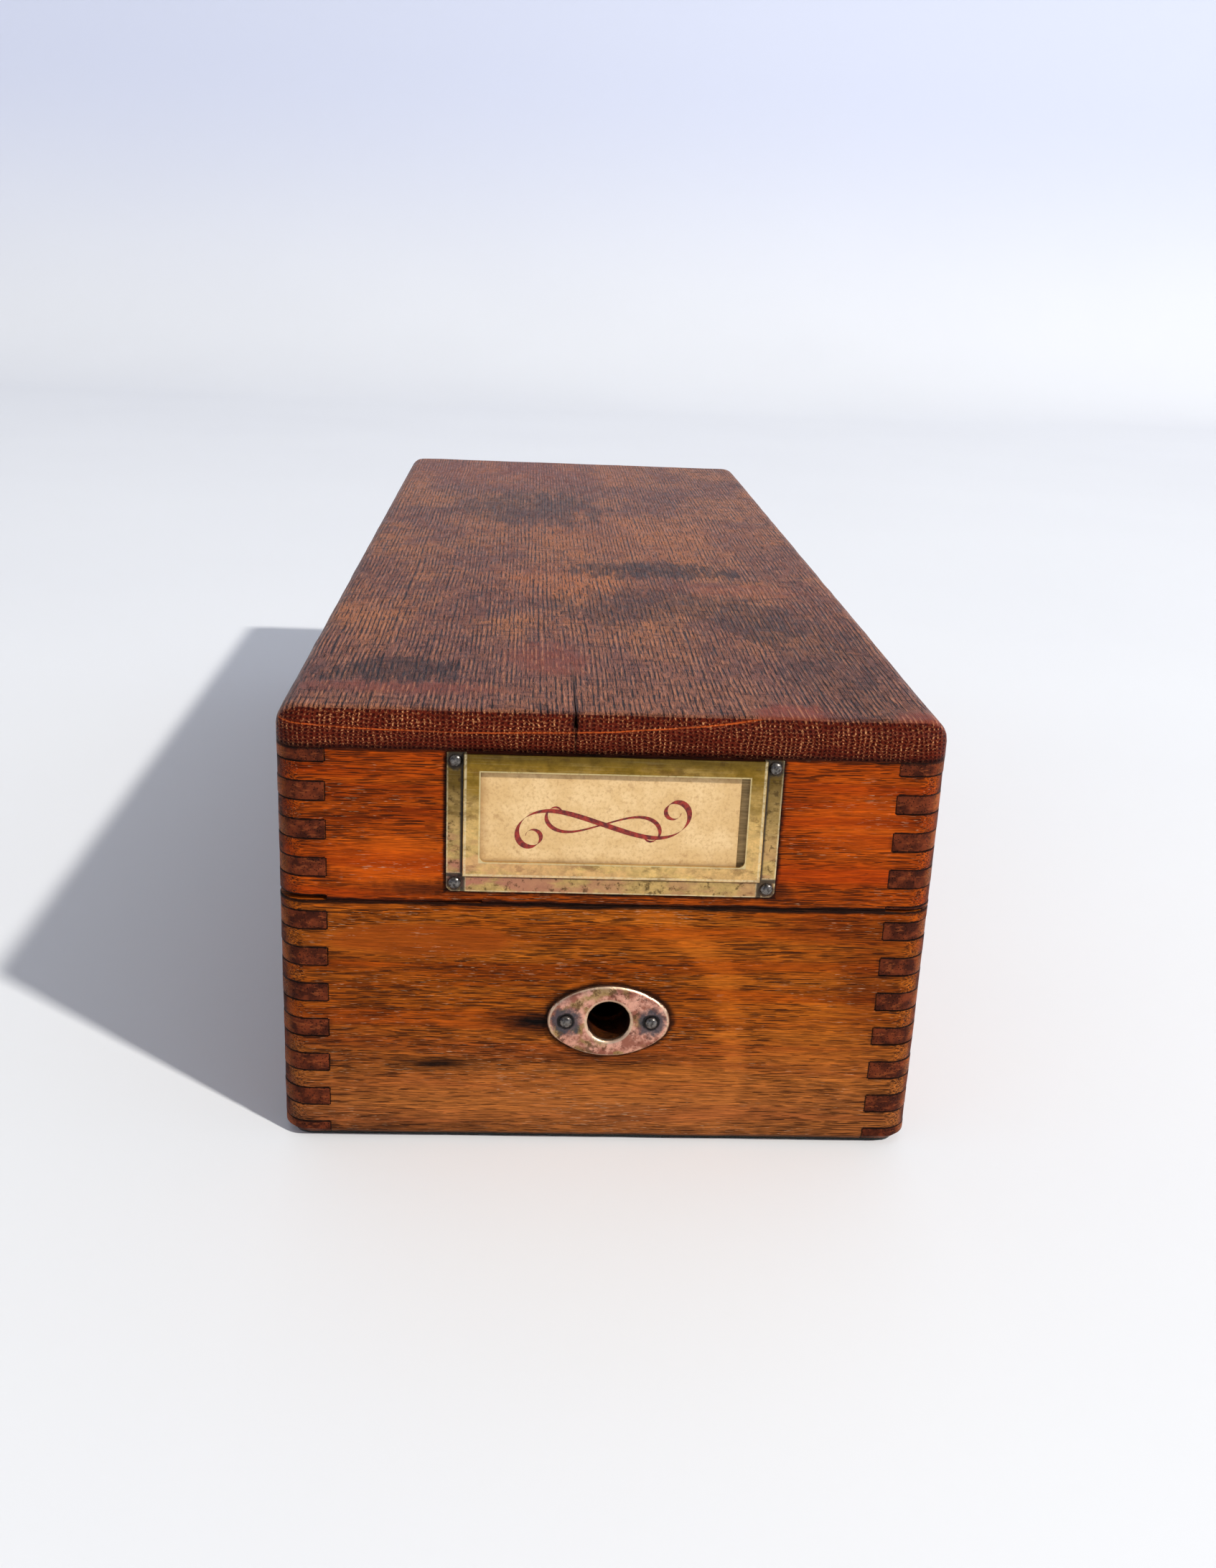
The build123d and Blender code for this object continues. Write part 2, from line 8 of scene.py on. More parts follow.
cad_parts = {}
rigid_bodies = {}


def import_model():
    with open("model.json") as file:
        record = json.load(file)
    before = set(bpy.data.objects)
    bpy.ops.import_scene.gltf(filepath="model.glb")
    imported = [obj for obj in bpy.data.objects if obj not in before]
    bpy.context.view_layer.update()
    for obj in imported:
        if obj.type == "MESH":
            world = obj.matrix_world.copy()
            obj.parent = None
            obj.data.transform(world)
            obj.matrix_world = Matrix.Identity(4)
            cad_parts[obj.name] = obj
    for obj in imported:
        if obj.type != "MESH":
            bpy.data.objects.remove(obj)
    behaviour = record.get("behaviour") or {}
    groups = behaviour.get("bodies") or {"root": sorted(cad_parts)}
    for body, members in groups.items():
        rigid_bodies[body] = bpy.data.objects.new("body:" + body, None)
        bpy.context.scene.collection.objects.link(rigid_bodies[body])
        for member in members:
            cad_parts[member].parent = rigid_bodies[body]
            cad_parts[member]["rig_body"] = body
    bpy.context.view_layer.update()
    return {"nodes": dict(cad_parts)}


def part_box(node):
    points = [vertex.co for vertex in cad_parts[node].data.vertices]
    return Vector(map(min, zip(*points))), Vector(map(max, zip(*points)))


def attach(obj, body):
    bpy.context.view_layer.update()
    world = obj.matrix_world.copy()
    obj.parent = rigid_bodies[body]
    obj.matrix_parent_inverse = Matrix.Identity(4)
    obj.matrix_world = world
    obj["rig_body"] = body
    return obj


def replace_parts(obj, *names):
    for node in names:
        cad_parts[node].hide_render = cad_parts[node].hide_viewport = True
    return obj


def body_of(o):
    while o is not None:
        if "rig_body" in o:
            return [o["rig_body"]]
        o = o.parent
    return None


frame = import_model()
nodes = frame["nodes"]

MM = 0.001
SEED = 4
noise.seed_set(SEED)

# The photograph's frame and the camera that fits it

PHOTO_HEIGHT = 2184
SENSOR = 36.0
FOCAL_PIXELS = 2193.7
CAMERA_PLACE = Vector((-21.3, -567.3, 215.3)) * MM
CAMERA_YAW = math.radians(-3.276)
CAMERA_PITCH = math.radians(18.952)
CAMERA_ROLL = math.radians(2.495)


# Places on the box, in mm, read from the frame

def span(part):
    """The lowest and highest corner of a CAD node."""
    low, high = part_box(part)
    return low / MM, high / MM


PANEL_LOW, PANEL_HIGH = span("lid_panel")
BASE_LOW, BASE_HIGH = span("base_front")
HOLDER_LOW, HOLDER_HIGH = span("label_holder")
PLATE_LOW, PLATE_HIGH = span("rod_plate")
CARD_LOW, CARD_HIGH = span("label_card")
FELT_LOW, FELT_HIGH = span("felt")
HOLDER_MIDDLE = (HOLDER_LOW + HOLDER_HIGH) / 2
PLATE_MIDDLE = (PLATE_LOW + PLATE_HIGH) / 2
FRONT = BASE_LOW.y
SEAM = BASE_HIGH.z
TOP = PANEL_HIGH.z
INNER_X = span("base_side_right")[0].x
INNER_Y = -BASE_HIGH.y

# Measures in mm that the frame doesn't hold

FINGER = 4.7625
BASE_FIRST_FINGER = 4.9
LID_FIRST_FINGER = 66.2
SIDE_FLANGE = 3.85
BOTTOM_FLANGE = 4.15
SIDE_BAR = 4.0
BOTTOM_BAR = 3.85
TOP_BAR = 4.3
PLATE_PIN_REACH = 10.5
HOLE_RADIUS = 5.6
HOLDER_PIN_SIDE = 2.0
HOLDER_PIN_TOP = 1.9
HOLDER_PIN_BOTTOM = 2.2
FRAME_LEFT = HOLDER_LOW.x + SIDE_FLANGE
FRAME_RIGHT = HOLDER_HIGH.x - SIDE_FLANGE
FRAME_LOW = HOLDER_LOW.z + BOTTOM_FLANGE
WINDOW_LEFT = FRAME_LEFT + SIDE_BAR
WINDOW_RIGHT = FRAME_RIGHT - SIDE_BAR
WINDOW_LOW = FRAME_LOW + BOTTOM_BAR
WINDOW_HIGH = HOLDER_HIGH.z - TOP_BAR
PIN_SEAT = FRONT - 0.7
CRACK_X = -9.4
CRACK_DEPTH = 1.2
DENT_DEPTH = 3.0


class Tree:
    """A material's nodes, built by plain calls. A value is a number, a colour or another socket.
    place is the surface's point in mm, and x, y and z are its parts."""

    def __init__(self, name):
        self.material = bpy.data.materials.new(name)
        self.material.use_nodes = True
        self.nodes = self.material.node_tree.nodes
        self.links = self.material.node_tree.links
        self.nodes.clear()
        self.place = self.vector("SCALE", self.node("TexCoord", out="Object"), scale=1 / MM)
        self.x, self.y, self.z = self.split(self.place)

    def put(self, socket, value):
        """Sets a socket, or links another to it."""
        if isinstance(value, bpy.types.NodeSocket):
            self.links.new(value, socket)
        elif socket.type == "VECTOR":
            socket.default_value = value[:3]
        else:
            socket.default_value = value

    def node(self, kind, values=(), out=0, **settings):
        """Makes a node, with values for its inputs, and gives its output."""
        made = self.nodes.new("ShaderNode" + kind)
        for key, value in settings.items():
            setattr(made, key, value)
        for key, value in dict(values).items():
            self.put(made.inputs[key], value)
        return made.outputs[out]

    def split(self, vector):
        made = self.nodes.new("ShaderNodeSeparateXYZ")
        self.put(made.inputs[0], vector)
        return made.outputs[0], made.outputs[1], made.outputs[2]

    def join(self, x, y, z):
        return self.node("CombineXYZ", {0: x, 1: y, 2: z})

    def vector(self, operation, a, b=(0, 0, 0), scale=1.0):
        values = {0: a, "Scale": scale} if operation == "SCALE" else {0: a, 1: b}
        out = "Value" if operation in ("LENGTH", "DISTANCE") else "Vector"
        return self.node("VectorMath", values, out, operation=operation)

    def math(self, operation, a, b=0.0):
        return self.node("Math", {0: a, 1: b}, operation=operation)

    def add(self, a, b):
        return self.math("ADD", a, b)

    def sub(self, a, b):
        return self.math("SUBTRACT", a, b)

    def mul(self, a, b):
        return self.math("MULTIPLY", a, b)

    def size(self, a):
        return self.math("ABSOLUTE", a)

    def flip(self, a):
        return self.math("SUBTRACT", 1.0, a)

    def least(self, a, b):
        return self.math("MINIMUM", a, b)

    def most(self, *values):
        found = values[0]
        for value in values[1:]:
            found = self.math("MAXIMUM", found, value)
        return found

    def length(self, a, b):
        """How far a point at a and b is from 0."""
        return self.math("SQRT", self.add(self.mul(a, a), self.mul(b, b)))

    def step(self, value, low, high, to_low=0.0, to_high=1.0):
        """A smooth step from to_low to to_high while value goes from low to high."""
        values = {"Value": value, 1: low, 2: high, 3: to_low, 4: to_high}
        return self.node("MapRange", values, interpolation_type="SMOOTHSTEP")

    def noise(self, place, size, detail=2.0, rough=0.5):
        """Noise with features of about that size in mm, or of one size along each axis."""
        if isinstance(size, (int, float)):
            size = (size, size, size)
        scaled = self.vector("MULTIPLY", place, tuple(1 / s for s in size))
        values = {"Vector": scaled, "Scale": 1.0, "Detail": detail, "Roughness": rough}
        return self.node("TexNoise", values, "Fac")

    def sway(self, place, size, reach, detail=2.0, rough=0.5):
        """Noise about 0, from half of reach below it to half of reach above."""
        return self.mul(self.sub(self.noise(place, size, detail, rough), 0.5), reach)

    def cells(self, place, size):
        """Distance to the nearest of scattered points, in cell sizes."""
        scaled = self.vector("MULTIPLY", place, tuple(1 / s for s in size))
        return self.node("TexVoronoi", {"Vector": scaled, "Scale": 1.0}, "Distance")

    def mix(self, share, a, b):
        return self.node("Mix", {0: share, 6: a, 7: b}, 2, data_type="RGBA")

    def lift(self, colour, factor):
        """The colour made brighter or darker by a factor."""
        return self.vector("SCALE", colour, scale=factor)

    def blot(self, middle, size, soft, rough, grain):
        """A patch round a place in mm, 1 inside and 0 outside: size is its half size, soft and
        rough are how wide and how ragged its edge is, and grain is the size of the ragged bits."""
        away = self.vector("SUBTRACT", self.place, middle)
        away = self.vector("MULTIPLY", away, tuple(1 / s for s in size))
        distance = self.vector("LENGTH", away)
        distance = self.add(distance, self.sway(self.place, grain, rough * 2, 3.0, 0.6))
        return self.step(distance, 1 - soft, 1 + soft, 1.0, 0.0)

    def blots(self, *marks):
        """The strongest of several blots. Each mark is a strength and the values of one blot."""
        return self.most(*[self.mul(self.blot(*mark), strength) for strength, *mark in marks])

    def facing(self, axis):
        """How squarely the surface faces along an axis of the box, 0 to 1."""
        return self.size(self.split(self.node("TexCoord", out="Normal"))[axis])

    def bump(self, height, distance, strength=1.0, under=None):
        """A normal that follows a height of up to distance mm, on top of the one under it."""
        values = {"Height": height, "Distance": distance * MM, "Strength": strength}
        if under is not None:
            values["Normal"] = under
        return self.node("Bump", values)

    def surface(self, colour, roughness, normal, metallic=0.0, **fixed):
        """Ends the material in a shader. fixed holds further inputs, with _ for a space."""
        values = {
            "Base Color": colour, "Roughness": roughness, "Metallic": metallic, "Normal": normal,
        }
        for key, value in fixed.items():
            values[key.replace("_", " ")] = value
        shader = self.node("BsdfPrincipled", values)
        out = self.nodes.new("ShaderNodeOutputMaterial")
        self.links.new(shader, out.inputs[0])
        return self.material


def rgb(red, green, blue):
    """A colour given as the 0 to 255 values that a screen shows."""
    def linear(value):
        share = value / 255
        return share / 12.92 if share < 0.04045 else ((share + 0.055) / 1.055) ** 2.4
    return linear(red), linear(green), linear(blue), 1.0


# Oak, a pattern that fills space and follows each board's own grain

RAY_SPACING = 1.25
PORE = rgb(40, 17, 9)
RED_OAK = rgb(104, 32, 5)
# Nearly black, for soiling and for painted shade.
GRIME_AND_SHADE = rgb(14, 9, 8)
WORN = rgb(150, 100, 62)
UNVARNISHED = rgb(176, 150, 104)
VARNISH = 0.04
DRY_VARNISH = 0.02


def warped(t, straight, reach, size):
    """straight, a place along and across the grain in mm, pushed sideways by slow waves."""
    wave = t.sway(straight, size, 2 * reach)
    return t.vector("ADD", straight, t.join(0.0, wave, wave))


def pore_lines(t, wavy, length, width, low, high):
    """Dark pore lines: long thin blots along the grain."""
    return t.step(t.noise(wavy, (length, width, width), 1.5, 0.5), low, high)


def needles(t, wavy, length, width, reach):
    """Pores cut lengthwise, one needle to a cell of that length and width."""
    return t.step(t.sub(reach, t.cells(wavy, (length, width, width))), 0.0, 0.06)


def finger_lines(t, first, end_board):
    """The dark joints round the fingers, 1 on a joint, and the soiling that spreads from them."""
    elsewhere = 9.0
    level = t.math("DIVIDE", t.sub(t.z, first), FINGER)
    part = t.math("FRACT", level)
    odd = t.step(t.math("FLOORED_MODULO", t.math("FLOOR", level), 2.0), 0.4, 0.6)
    own = t.flip(odd) if end_board else odd
    along, inner = (t.x, INNER_X) if end_board else (t.y, INNER_Y)
    to_end = t.sub(t.size(along), inner)
    beyond = t.step(to_end, -0.15, 0.15, elsewhere, 0.0)
    to_level = t.add(t.mul(t.least(part, t.flip(part)), FINGER), beyond)
    to_stop = t.add(t.size(to_end), t.mul(own, elsewhere))
    distance = t.add(t.least(to_level, to_stop), t.sway(t.place, 1.6, 0.35, 3.0, 0.6))
    line = t.step(distance, 0.12, 0.34, 1.0, 0.0)
    patchy = t.step(t.noise(t.place, 4.0, 2.0), 0.42, 0.62)
    return line, t.mul(t.step(distance, 0.2, 1.5, 1.0, 0.0), patchy)


def seam_and_overhang_shade(t):
    """Painted shade along the saw cut and under the panel's overhang, and the wood darker towards
    the foot.
    """
    wander = t.sway(t.place, (9, 9, 2), 1.6, 3.0, 0.6)
    to_seam = t.add(t.size(t.sub(t.z, SEAM)), wander)
    to_panel = t.add(t.size(t.sub(t.z, PANEL_LOW.z)), wander)
    to_foot = t.add(t.sub(t.z, BASE_LOW.z), wander)
    dirt_and_shade = t.most(
        t.step(to_seam, 0.35, 1.2, 0.95, 0.0),
        t.step(to_panel, 0.1, 1.0, 0.85, 0.0),
        t.step(to_foot, 0.2, 1.6, 0.7, 0.0),
    )
    return t.mul(dirt_and_shade, t.step(t.facing(2), 0.7, 0.95, 1.0, 0.15))


def on_face(t, value):
    """The value on a front board's outer face and a little way in, 0 further back."""
    return t.mul(value, t.step(t.y, FRONT + 2.5, FRONT + 5, 1.0, 0.0))


def end_grain(t, specks):
    """The colour of a wall's end grain: brown blotches, pale flecks and dark pores."""
    flecks = t.step(t.noise(t.place, (2.6, 2.6, 0.7), 2.0, 0.6), 0.55, 0.68)
    blotch = t.noise(t.place, 3.4, 3.0, 0.6)
    colour = t.mix(t.step(blotch, 0.38, 0.66), rgb(58, 24, 14), rgb(104, 46, 24))
    colour = t.mix(t.mul(flecks, 0.5), colour, rgb(138, 70, 36))
    return t.mix(t.step(specks, 0.30, 0.12, 0.0, 0.8), colour, rgb(26, 12, 10))


def board_oak(name, along, tones, first, features, crowding=0.0, bare=WORN):
    """A wall's oak. along is the grain's axis, tones are its dark, middle and pale colours, first
    is the height of a finger, and features gives four shares: smooth, stains, redness, worn.
    crowding brings pores closer together, and bare is the colour where the wood is worn."""
    t = Tree(name)
    end_board = along == "X"
    straight = t.join(t.x, t.z, t.y) if end_board else t.join(t.y, t.z, t.x)
    wavy = warped(t, straight, 1.8, (120, 24, 24))
    smooth, darkening, redness, worn = features(t)
    bands = t.noise(wavy, (110, 4.2, 4.2), 3.0, 0.6)
    clouds = t.noise(straight, (34, 9, 9), 3.0, 0.6)
    fibre = t.noise(wavy, (5, 0.18, 0.18), 2.0, 0.65)
    shimmer = t.noise(wavy, (14, 0.7, 0.7), 2.0, 0.6)

    dark, middle, pale = tones
    colour = t.mix(t.step(bands, 0.34, 0.66), middle, pale)
    colour = t.mix(t.step(clouds, 0.48, 0.70, 0.0, 0.4), colour, dark)
    colour = t.mix(t.mul(redness, 0.7), colour, RED_OAK)
    colour = t.mix(t.mul(smooth, 0.2), colour, pale)
    colour = t.mix(worn, colour, bare)
    colour = t.lift(colour, t.step(fibre, 0.30, 0.70, 0.70, 1.24))
    colour = t.lift(colour, t.step(shimmer, 0.30, 0.70, 0.80, 1.18))

    crowd = t.add(bands, t.mul(clouds, 0.6))
    crowd = t.step(crowd, 0.66 - crowding, 0.90 - crowding, 0.3, 1.1)
    crowd = t.mul(crowd, t.flip(t.mul(smooth, 0.92)))
    short = needles(t, wavy, 7.0, 0.42, t.mul(crowd, 0.27))
    long = needles(t, wavy, 15.0, 0.56, t.mul(crowd, 0.28))
    hair = pore_lines(t, wavy, 6.0, 0.17, 0.50, 0.64)
    colour = t.lift(colour, t.step(crowd, 0.3, 1.1, 1.08, 0.84))
    marks = t.most(short, long, t.mul(hair, t.mul(crowd, 0.7)))
    colour = t.mix(t.mul(marks, 0.86), colour, PORE)
    # Painted glints: pale flecks along fine pores, where the varnish would catch the light.
    painted_glints = t.mul(pore_lines(t, wavy, 2.6, 0.16, 0.66, 0.72), t.step(clouds, 0.46, 0.60))
    colour = t.mix(t.mul(painted_glints, 0.55), colour, rgb(218, 176, 138))

    ends = t.step(t.facing(0 if end_board else 1), 0.62, 0.86)
    specks = t.cells(t.place, (0.6, 0.6, 0.6))
    colour = t.mix(ends, colour, end_grain(t, specks))

    line, spread = finger_lines(t, first, end_board)
    # Dark joints and the soiling spread from them, with painted shade along the saw cut and under
    # the panel.
    dirt_and_shade = t.most(t.mul(line, 0.95), t.mul(spread, 0.35), seam_and_overhang_shade(t))
    colour = t.mix(t.most(dirt_and_shade, darkening), colour, GRIME_AND_SHADE)

    height = t.sub(t.mul(fibre, 0.3), t.mul(marks, t.flip(ends)))
    height = t.sub(height, t.mul(t.step(specks, 0.3, 0.1), ends))
    normal = t.bump(t.noise(straight, (26, 5, 5), 2.0), 0.5, 0.5)
    normal = t.bump(height, 0.2, 1.0, normal)
    gloss = t.add(0.24, t.mul(t.noise(wavy, (12, 2.5, 2.5), 3.0, 0.6), 0.26))
    gloss = t.add(gloss, t.mul(t.most(dirt_and_shade, ends), 0.15))
    return t.surface(colour, gloss, normal, Specular_IOR_Level=VARNISH)


def from_oval(t):
    """The distance from the rod plate's middle, as a share of the plate's half size."""
    plate_x = t.math("DIVIDE", t.sub(t.x, PLATE_MIDDLE.x), PLATE_HIGH.x - PLATE_MIDDLE.x)
    plate_z = t.math("DIVIDE", t.sub(t.z, PLATE_MIDDLE.z), PLATE_HIGH.z - PLATE_MIDDLE.z)
    return t.length(plate_x, plate_z)


def plain_features(t):
    """No smooth patches, no stains, no red and no wear."""
    return 0.0, 0.0, 0.0, 0.0


def base_front_features(t):
    """The pore-free bands where the cut ran along a growth ring, smudges, painted shadow with some
    soiling round the plate, and painted shade in the bore.
    """
    ring_x, ring_z, ring_radius, flatness = -10.0, 24.0, 43.5, 0.97
    radius = t.length(t.sub(t.x, ring_x), t.mul(t.sub(t.z, ring_z), flatness))
    ring = t.add(t.sub(radius, ring_radius), t.sway(t.place, (12, 12, 8), 9.0, 3.0, 0.6))
    band = t.mul(t.step(t.size(ring), 0.8, 6.0, 1.0, 0.0), t.step(t.x, 0.0, 10.0))
    patch = t.blot((-45, FRONT, 55), (24, 20, 4.2), 0.3, 0.4, 10)
    smooth = t.most(
        t.mul(band, 0.55),
        patch,
        t.blots(
            (0.3, (56, FRONT, 30), (13, 20, 20), 0.5, 0.6, 9),
            (0.45, (-5, FRONT, 12), (48, 20, 11), 0.6, 0.8, (20, 9, 9)),
        ),
    )

    from_plate = from_oval(t)
    ragged = t.sway(t.place, 2.4, 0.14, 3.0, 0.6)
    # A ragged dark ring round the plate: painted shadow of the plate, with some soiling.
    shadow_halo = t.step(t.add(from_plate, ragged), 1.02, 1.13, 1.0, 0.0)
    shadow_halo = t.mul(shadow_halo, t.step(from_plate, 0.62, 0.8, 0.7, 1.0))
    smudges = t.blots(
        (1.0, (-17.0, FRONT, 33.5), (9.0, 12, 2.6), 0.9, 0.6, (4, 4, 1)),
        (0.95, (-41, FRONT, 21.7), (9.0, 12, 1.5), 0.9, 0.5, (4, 4, 1)),
        (0.35, (3, FRONT, 23.5), (14, 12, 3.0), 0.8, 0.8, 3.0),
        (0.3, (-52, FRONT, 3), (20, 12, 3.0), 0.8, 0.8, 3.0),
    )
    # Painted shade on the walls of the rod's bore.
    in_bore = t.step(t.y, BASE_HIGH.y - 1, BASE_HIGH.y - 3)
    bore = t.mul(t.step(from_plate, 0.72, 0.80, 0.85, 0.0), in_bore)
    darkening = t.most(on_face(t, t.most(t.mul(shadow_halo, 0.9), smudges)), bore)
    reds = t.blots(
        (0.9, (54, FRONT, 60.5), (14, 12, 3.4), 0.8, 0.8, 4.0),
        (0.7, (66, FRONT, 46), (7, 12, 16), 0.8, 0.7, 5.0),
        (0.3, (-62, FRONT, 40), (10, 12, 24), 0.8, 0.6, 6.0),
    )
    redness = t.most(t.mul(patch, 1.15), reds)
    worn = t.mul(t.step(t.add(t.z, t.mul(ragged, 60)), 40, 6), 0.42)
    return smooth, darkening, redness, on_face(t, worn)


def lid_front_features(t):
    """The lid front's painted shadow and smudges round the holder, and its bare wood behind the
    card.
    """
    beyond = t.most(
        t.sub(HOLDER_LOW.x, t.x), t.sub(t.x, HOLDER_HIGH.x),
        t.sub(HOLDER_LOW.z, t.z), t.sub(t.z, HOLDER_HIGH.z),
    )
    behind = t.step(beyond, -3.0, -4.0)
    patches = t.blots(
        (0.8, (-50, FRONT, 74), (16, 20, 7), 0.4, 0.6, 9.0),
        (0.6, (58, FRONT, 88), (14, 20, 10), 0.5, 0.6, 9.0),
    )
    # A ragged dark ring round the holder: the holder's painted shadow.
    ragged = t.sway(t.place, 2.2, 1.6, 3.0, 0.6)
    shadow_halo = t.step(t.add(beyond, ragged), 0.2, 1.5, 1.0, 0.0)
    shadow_halo = t.mul(shadow_halo, t.step(beyond, -2.5, -0.8))
    smudges = t.blots(
        (0.75, (-45, FRONT, 68.7), (11, 12, 1.8), 0.8, 0.8, 3.0),
        (0.7, (40.5, FRONT, 69.3), (3, 12, 2.5), 0.7, 0.6, 3.0),
    )
    darkening = on_face(t, t.most(t.mul(shadow_halo, 0.92), t.mul(behind, 0.06), smudges))
    return t.most(patches, behind), darkening, 0.0, on_face(t, t.mul(behind, 0.95))


def ring_line(t, straight):
    """The thin pale layer of one growth ring, which lies almost level in the panel."""
    middle_x, middle_z, bend = -36.0, 707.5, 600.0
    radius = t.length(t.sub(t.x, middle_x), t.sub(t.z, middle_z))
    spread = t.step(t.y, FRONT + 6, FRONT + 70, 0.08, 1.0)
    wave = t.sway(straight, (38, 16, 30), t.mul(spread, 9.0))
    depth = t.add(t.sub(radius, bend), wave)
    faint = t.step(t.noise(straight, (9, 7, 7), 2.0), 0.3, 0.6, 0.3, 1.0)
    return t.mul(t.step(t.size(depth), 0.24, 0.06), faint)


def panel_face(t, straight, wavy, comb):
    """The panel's colour along the grain, its dark marks, and its fine fibre."""
    dense = t.sway(straight, (12, 5, 5), 0.5, 3.0, 0.6)
    breaks = t.add(t.noise(wavy, (6.0, 0.9, 0.9), 2.0, 0.6), dense)
    swell = t.sway(wavy, (5.0, 0.7, 0.7), 0.5)
    rays = t.mul(t.step(t.add(comb, swell), 0.08, 0.20, 1.0, 0.0), t.step(breaks, 0.43, 0.49))
    fine = pore_lines(t, wavy, 4.0, 0.20, 0.54, 0.66)
    fibre = t.noise(wavy, (5, 0.2, 0.2), 2.0, 0.65)
    patches = t.noise(straight, (46, 24, 24), 4.0, 0.6)
    cloudy = t.noise(straight, (15, 10, 10), 3.0, 0.6)

    flakes = t.step(t.noise(straight, (2.0, 9, 9), 4.0, 0.65), 0.52, 0.60, 0.0, 0.6)
    colour = t.mix(t.step(patches, 0.40, 0.60), rgb(122, 72, 52), rgb(156, 95, 56))
    colour = t.mix(t.step(cloudy, 0.5, 0.66, 0.0, 0.4), colour, rgb(82, 44, 38))
    colour = t.mix(t.step(t.y, -120, -185, 0.0, 0.55), colour, rgb(112, 72, 62))
    colour = t.mix(flakes, colour, rgb(70, 38, 32))
    amber = t.blots(
        (0.9, (-8, -68, TOP), (20, 22, 9), 0.7, 0.9, 9.0),
        (0.5, (14, 15, TOP), (40, 40, 9), 0.7, 0.9, 12.0),
    )
    colour = t.mix(t.mul(amber, 0.6), colour, rgb(184, 106, 50))
    reds = t.blots(
        (0.8, (-15, -168, TOP), (9, 16, 9), 0.5, 0.8, 6.0),
        (0.7, (-50, -199, TOP), (22, 5, 9), 0.6, 0.9, 5.0),
        (0.5, (-30, 180, TOP), (50, 40, 9), 0.8, 0.8, 16.0),
        (0.6, (45, -75, TOP), (20, 9, 9), 0.7, 0.9, 8.0),
        (1.0, (42, -212, TOP), (9, 6, 9), 0.4, 0.8, 5.0),
        (1.0, (73, -214, TOP), (7, 5, 9), 0.4, 0.8, 5.0),
    )
    colour = t.mix(t.mul(reds, 0.72), colour, rgb(122, 52, 32))
    colour = t.lift(colour, t.step(fibre, 0.30, 0.70, 0.66, 1.34))
    # Painted highlights: pale strokes on the ridges beside the dark rays.
    ridge_highlights = t.mul(t.step(comb, 0.34, 0.54), t.step(breaks, 0.48, 0.58))
    colour = t.mix(t.mul(ridge_highlights, 0.5), colour, rgb(196, 130, 92))
    marks = t.most(rays, t.mul(fine, 0.75))
    marks = t.mul(marks, t.flip(t.mul(reds, 0.8)))
    colour = t.mix(t.mul(marks, 0.95), colour, rgb(17, 9, 9))
    darkening = t.blots(
        (0.95, (18, -46, TOP), (27, 13, 9), 0.18, 1.3, (2.4, 14, 9)),
        (0.9, (-53, -183, TOP), (15, 13, 9), 0.2, 1.3, (3, 14, 9)),
        (0.75, (44, -118, TOP), (11, 30, 9), 0.2, 1.3, (4, 18, 9)),
        (0.75, (-20, 78, TOP), (24, 38, 9), 0.25, 1.3, (5, 28, 9)),
        (0.65, (16, -100, TOP), (26, 24, 9), 0.2, 1.5, (3, 16, 9)),
        (0.45, (60, -160, TOP), (14, 50, 9), 0.3, 1.3, (5, 28, 9)),
    )
    darkening = t.mul(darkening, t.add(0.7, t.mul(rays, 0.3)))
    streaks = t.step(t.noise(wavy, (7, 0.8, 0.8), 3.0, 0.6), 0.36, 0.52, 0.5, 1.0)
    return t.mix(t.mul(darkening, streaks), colour, rgb(16, 12, 15)), marks, fibre


def panel_end_grain(t, straight, wavy, comb):
    """The panel's colour across the grain, a mesh of golden dots whose brightest specks are painted
    highlights, and the pits in the mesh.
    """
    row_height = 0.44
    level = t.add(t.z, t.mul(t.noise(wavy, (30, 1.3, 4.0), 2.0), 1.6))
    to_row = t.math("PINGPONG", level, row_height)
    rows = t.step(to_row, 0.20, 0.05)
    grit = t.noise(t.place, (0.5, 2, 0.35), 2.0, 0.6)
    columns = t.step(t.add(comb, t.mul(t.sub(grit, 0.5), 0.5)), 0.38, 0.56)
    columns = t.mul(columns, t.step(to_row, 0.04, 0.28, 0.45, 1.15))
    mesh = t.most(columns, t.mul(rows, 0.4))
    mesh = t.mul(mesh, t.step(t.noise(t.place, (9, 9, 2.5), 3.0), 0.38, 0.62, 0.3, 1.1))
    colour = t.mix(t.noise(t.place, (5, 5, 2), 3.0), rgb(48, 12, 8), rgb(94, 28, 15))
    # Golden dots, dull to bright; the brightest are painted highlights.
    golden = t.mix(t.step(grit, 0.50, 0.62), rgb(92, 38, 20), rgb(214, 150, 98))
    colour = t.mix(t.mul(mesh, 0.66), colour, golden)
    pits = t.mul(t.step(comb, 0.34, 0.12), t.step(to_row, 0.16, 0.34))
    colour = t.mix(t.mul(pits, 0.7), colour, rgb(20, 8, 7))
    return t.mix(t.mul(ring_line(t, straight), 0.7), colour, rgb(190, 84, 32)), pits


def panel_darkening(t):
    """Painted shade along the panel's lower edge, the panel darker in its crack and in its dent,
    and the crack alone.
    """
    lower_edge_shade = t.step(t.z, PANEL_LOW.z + 1.6, PANEL_LOW.z + 0.2, 0.0, 0.8)
    lower_edge_shade = t.mul(lower_edge_shade, t.flip(t.facing(2)))
    from_crack = t.add(t.size(t.sub(t.x, CRACK_X)), t.sway(t.place, (3, 9, 3), 0.5))
    crack = t.mul(
        t.step(from_crack, 0.16, 0.42, 1.0, 0.0), t.step(t.y, FRONT + 60, FRONT + 25, 0.0, 0.75)
    )
    dent = t.blot((CRACK_X, FRONT + 1.5, TOP - 1.5), (0.9, 4.0, 3.4), 0.5, 0.8, 1.5)
    return t.most(lower_edge_shade, crack, t.mul(dent, 0.7)), crack


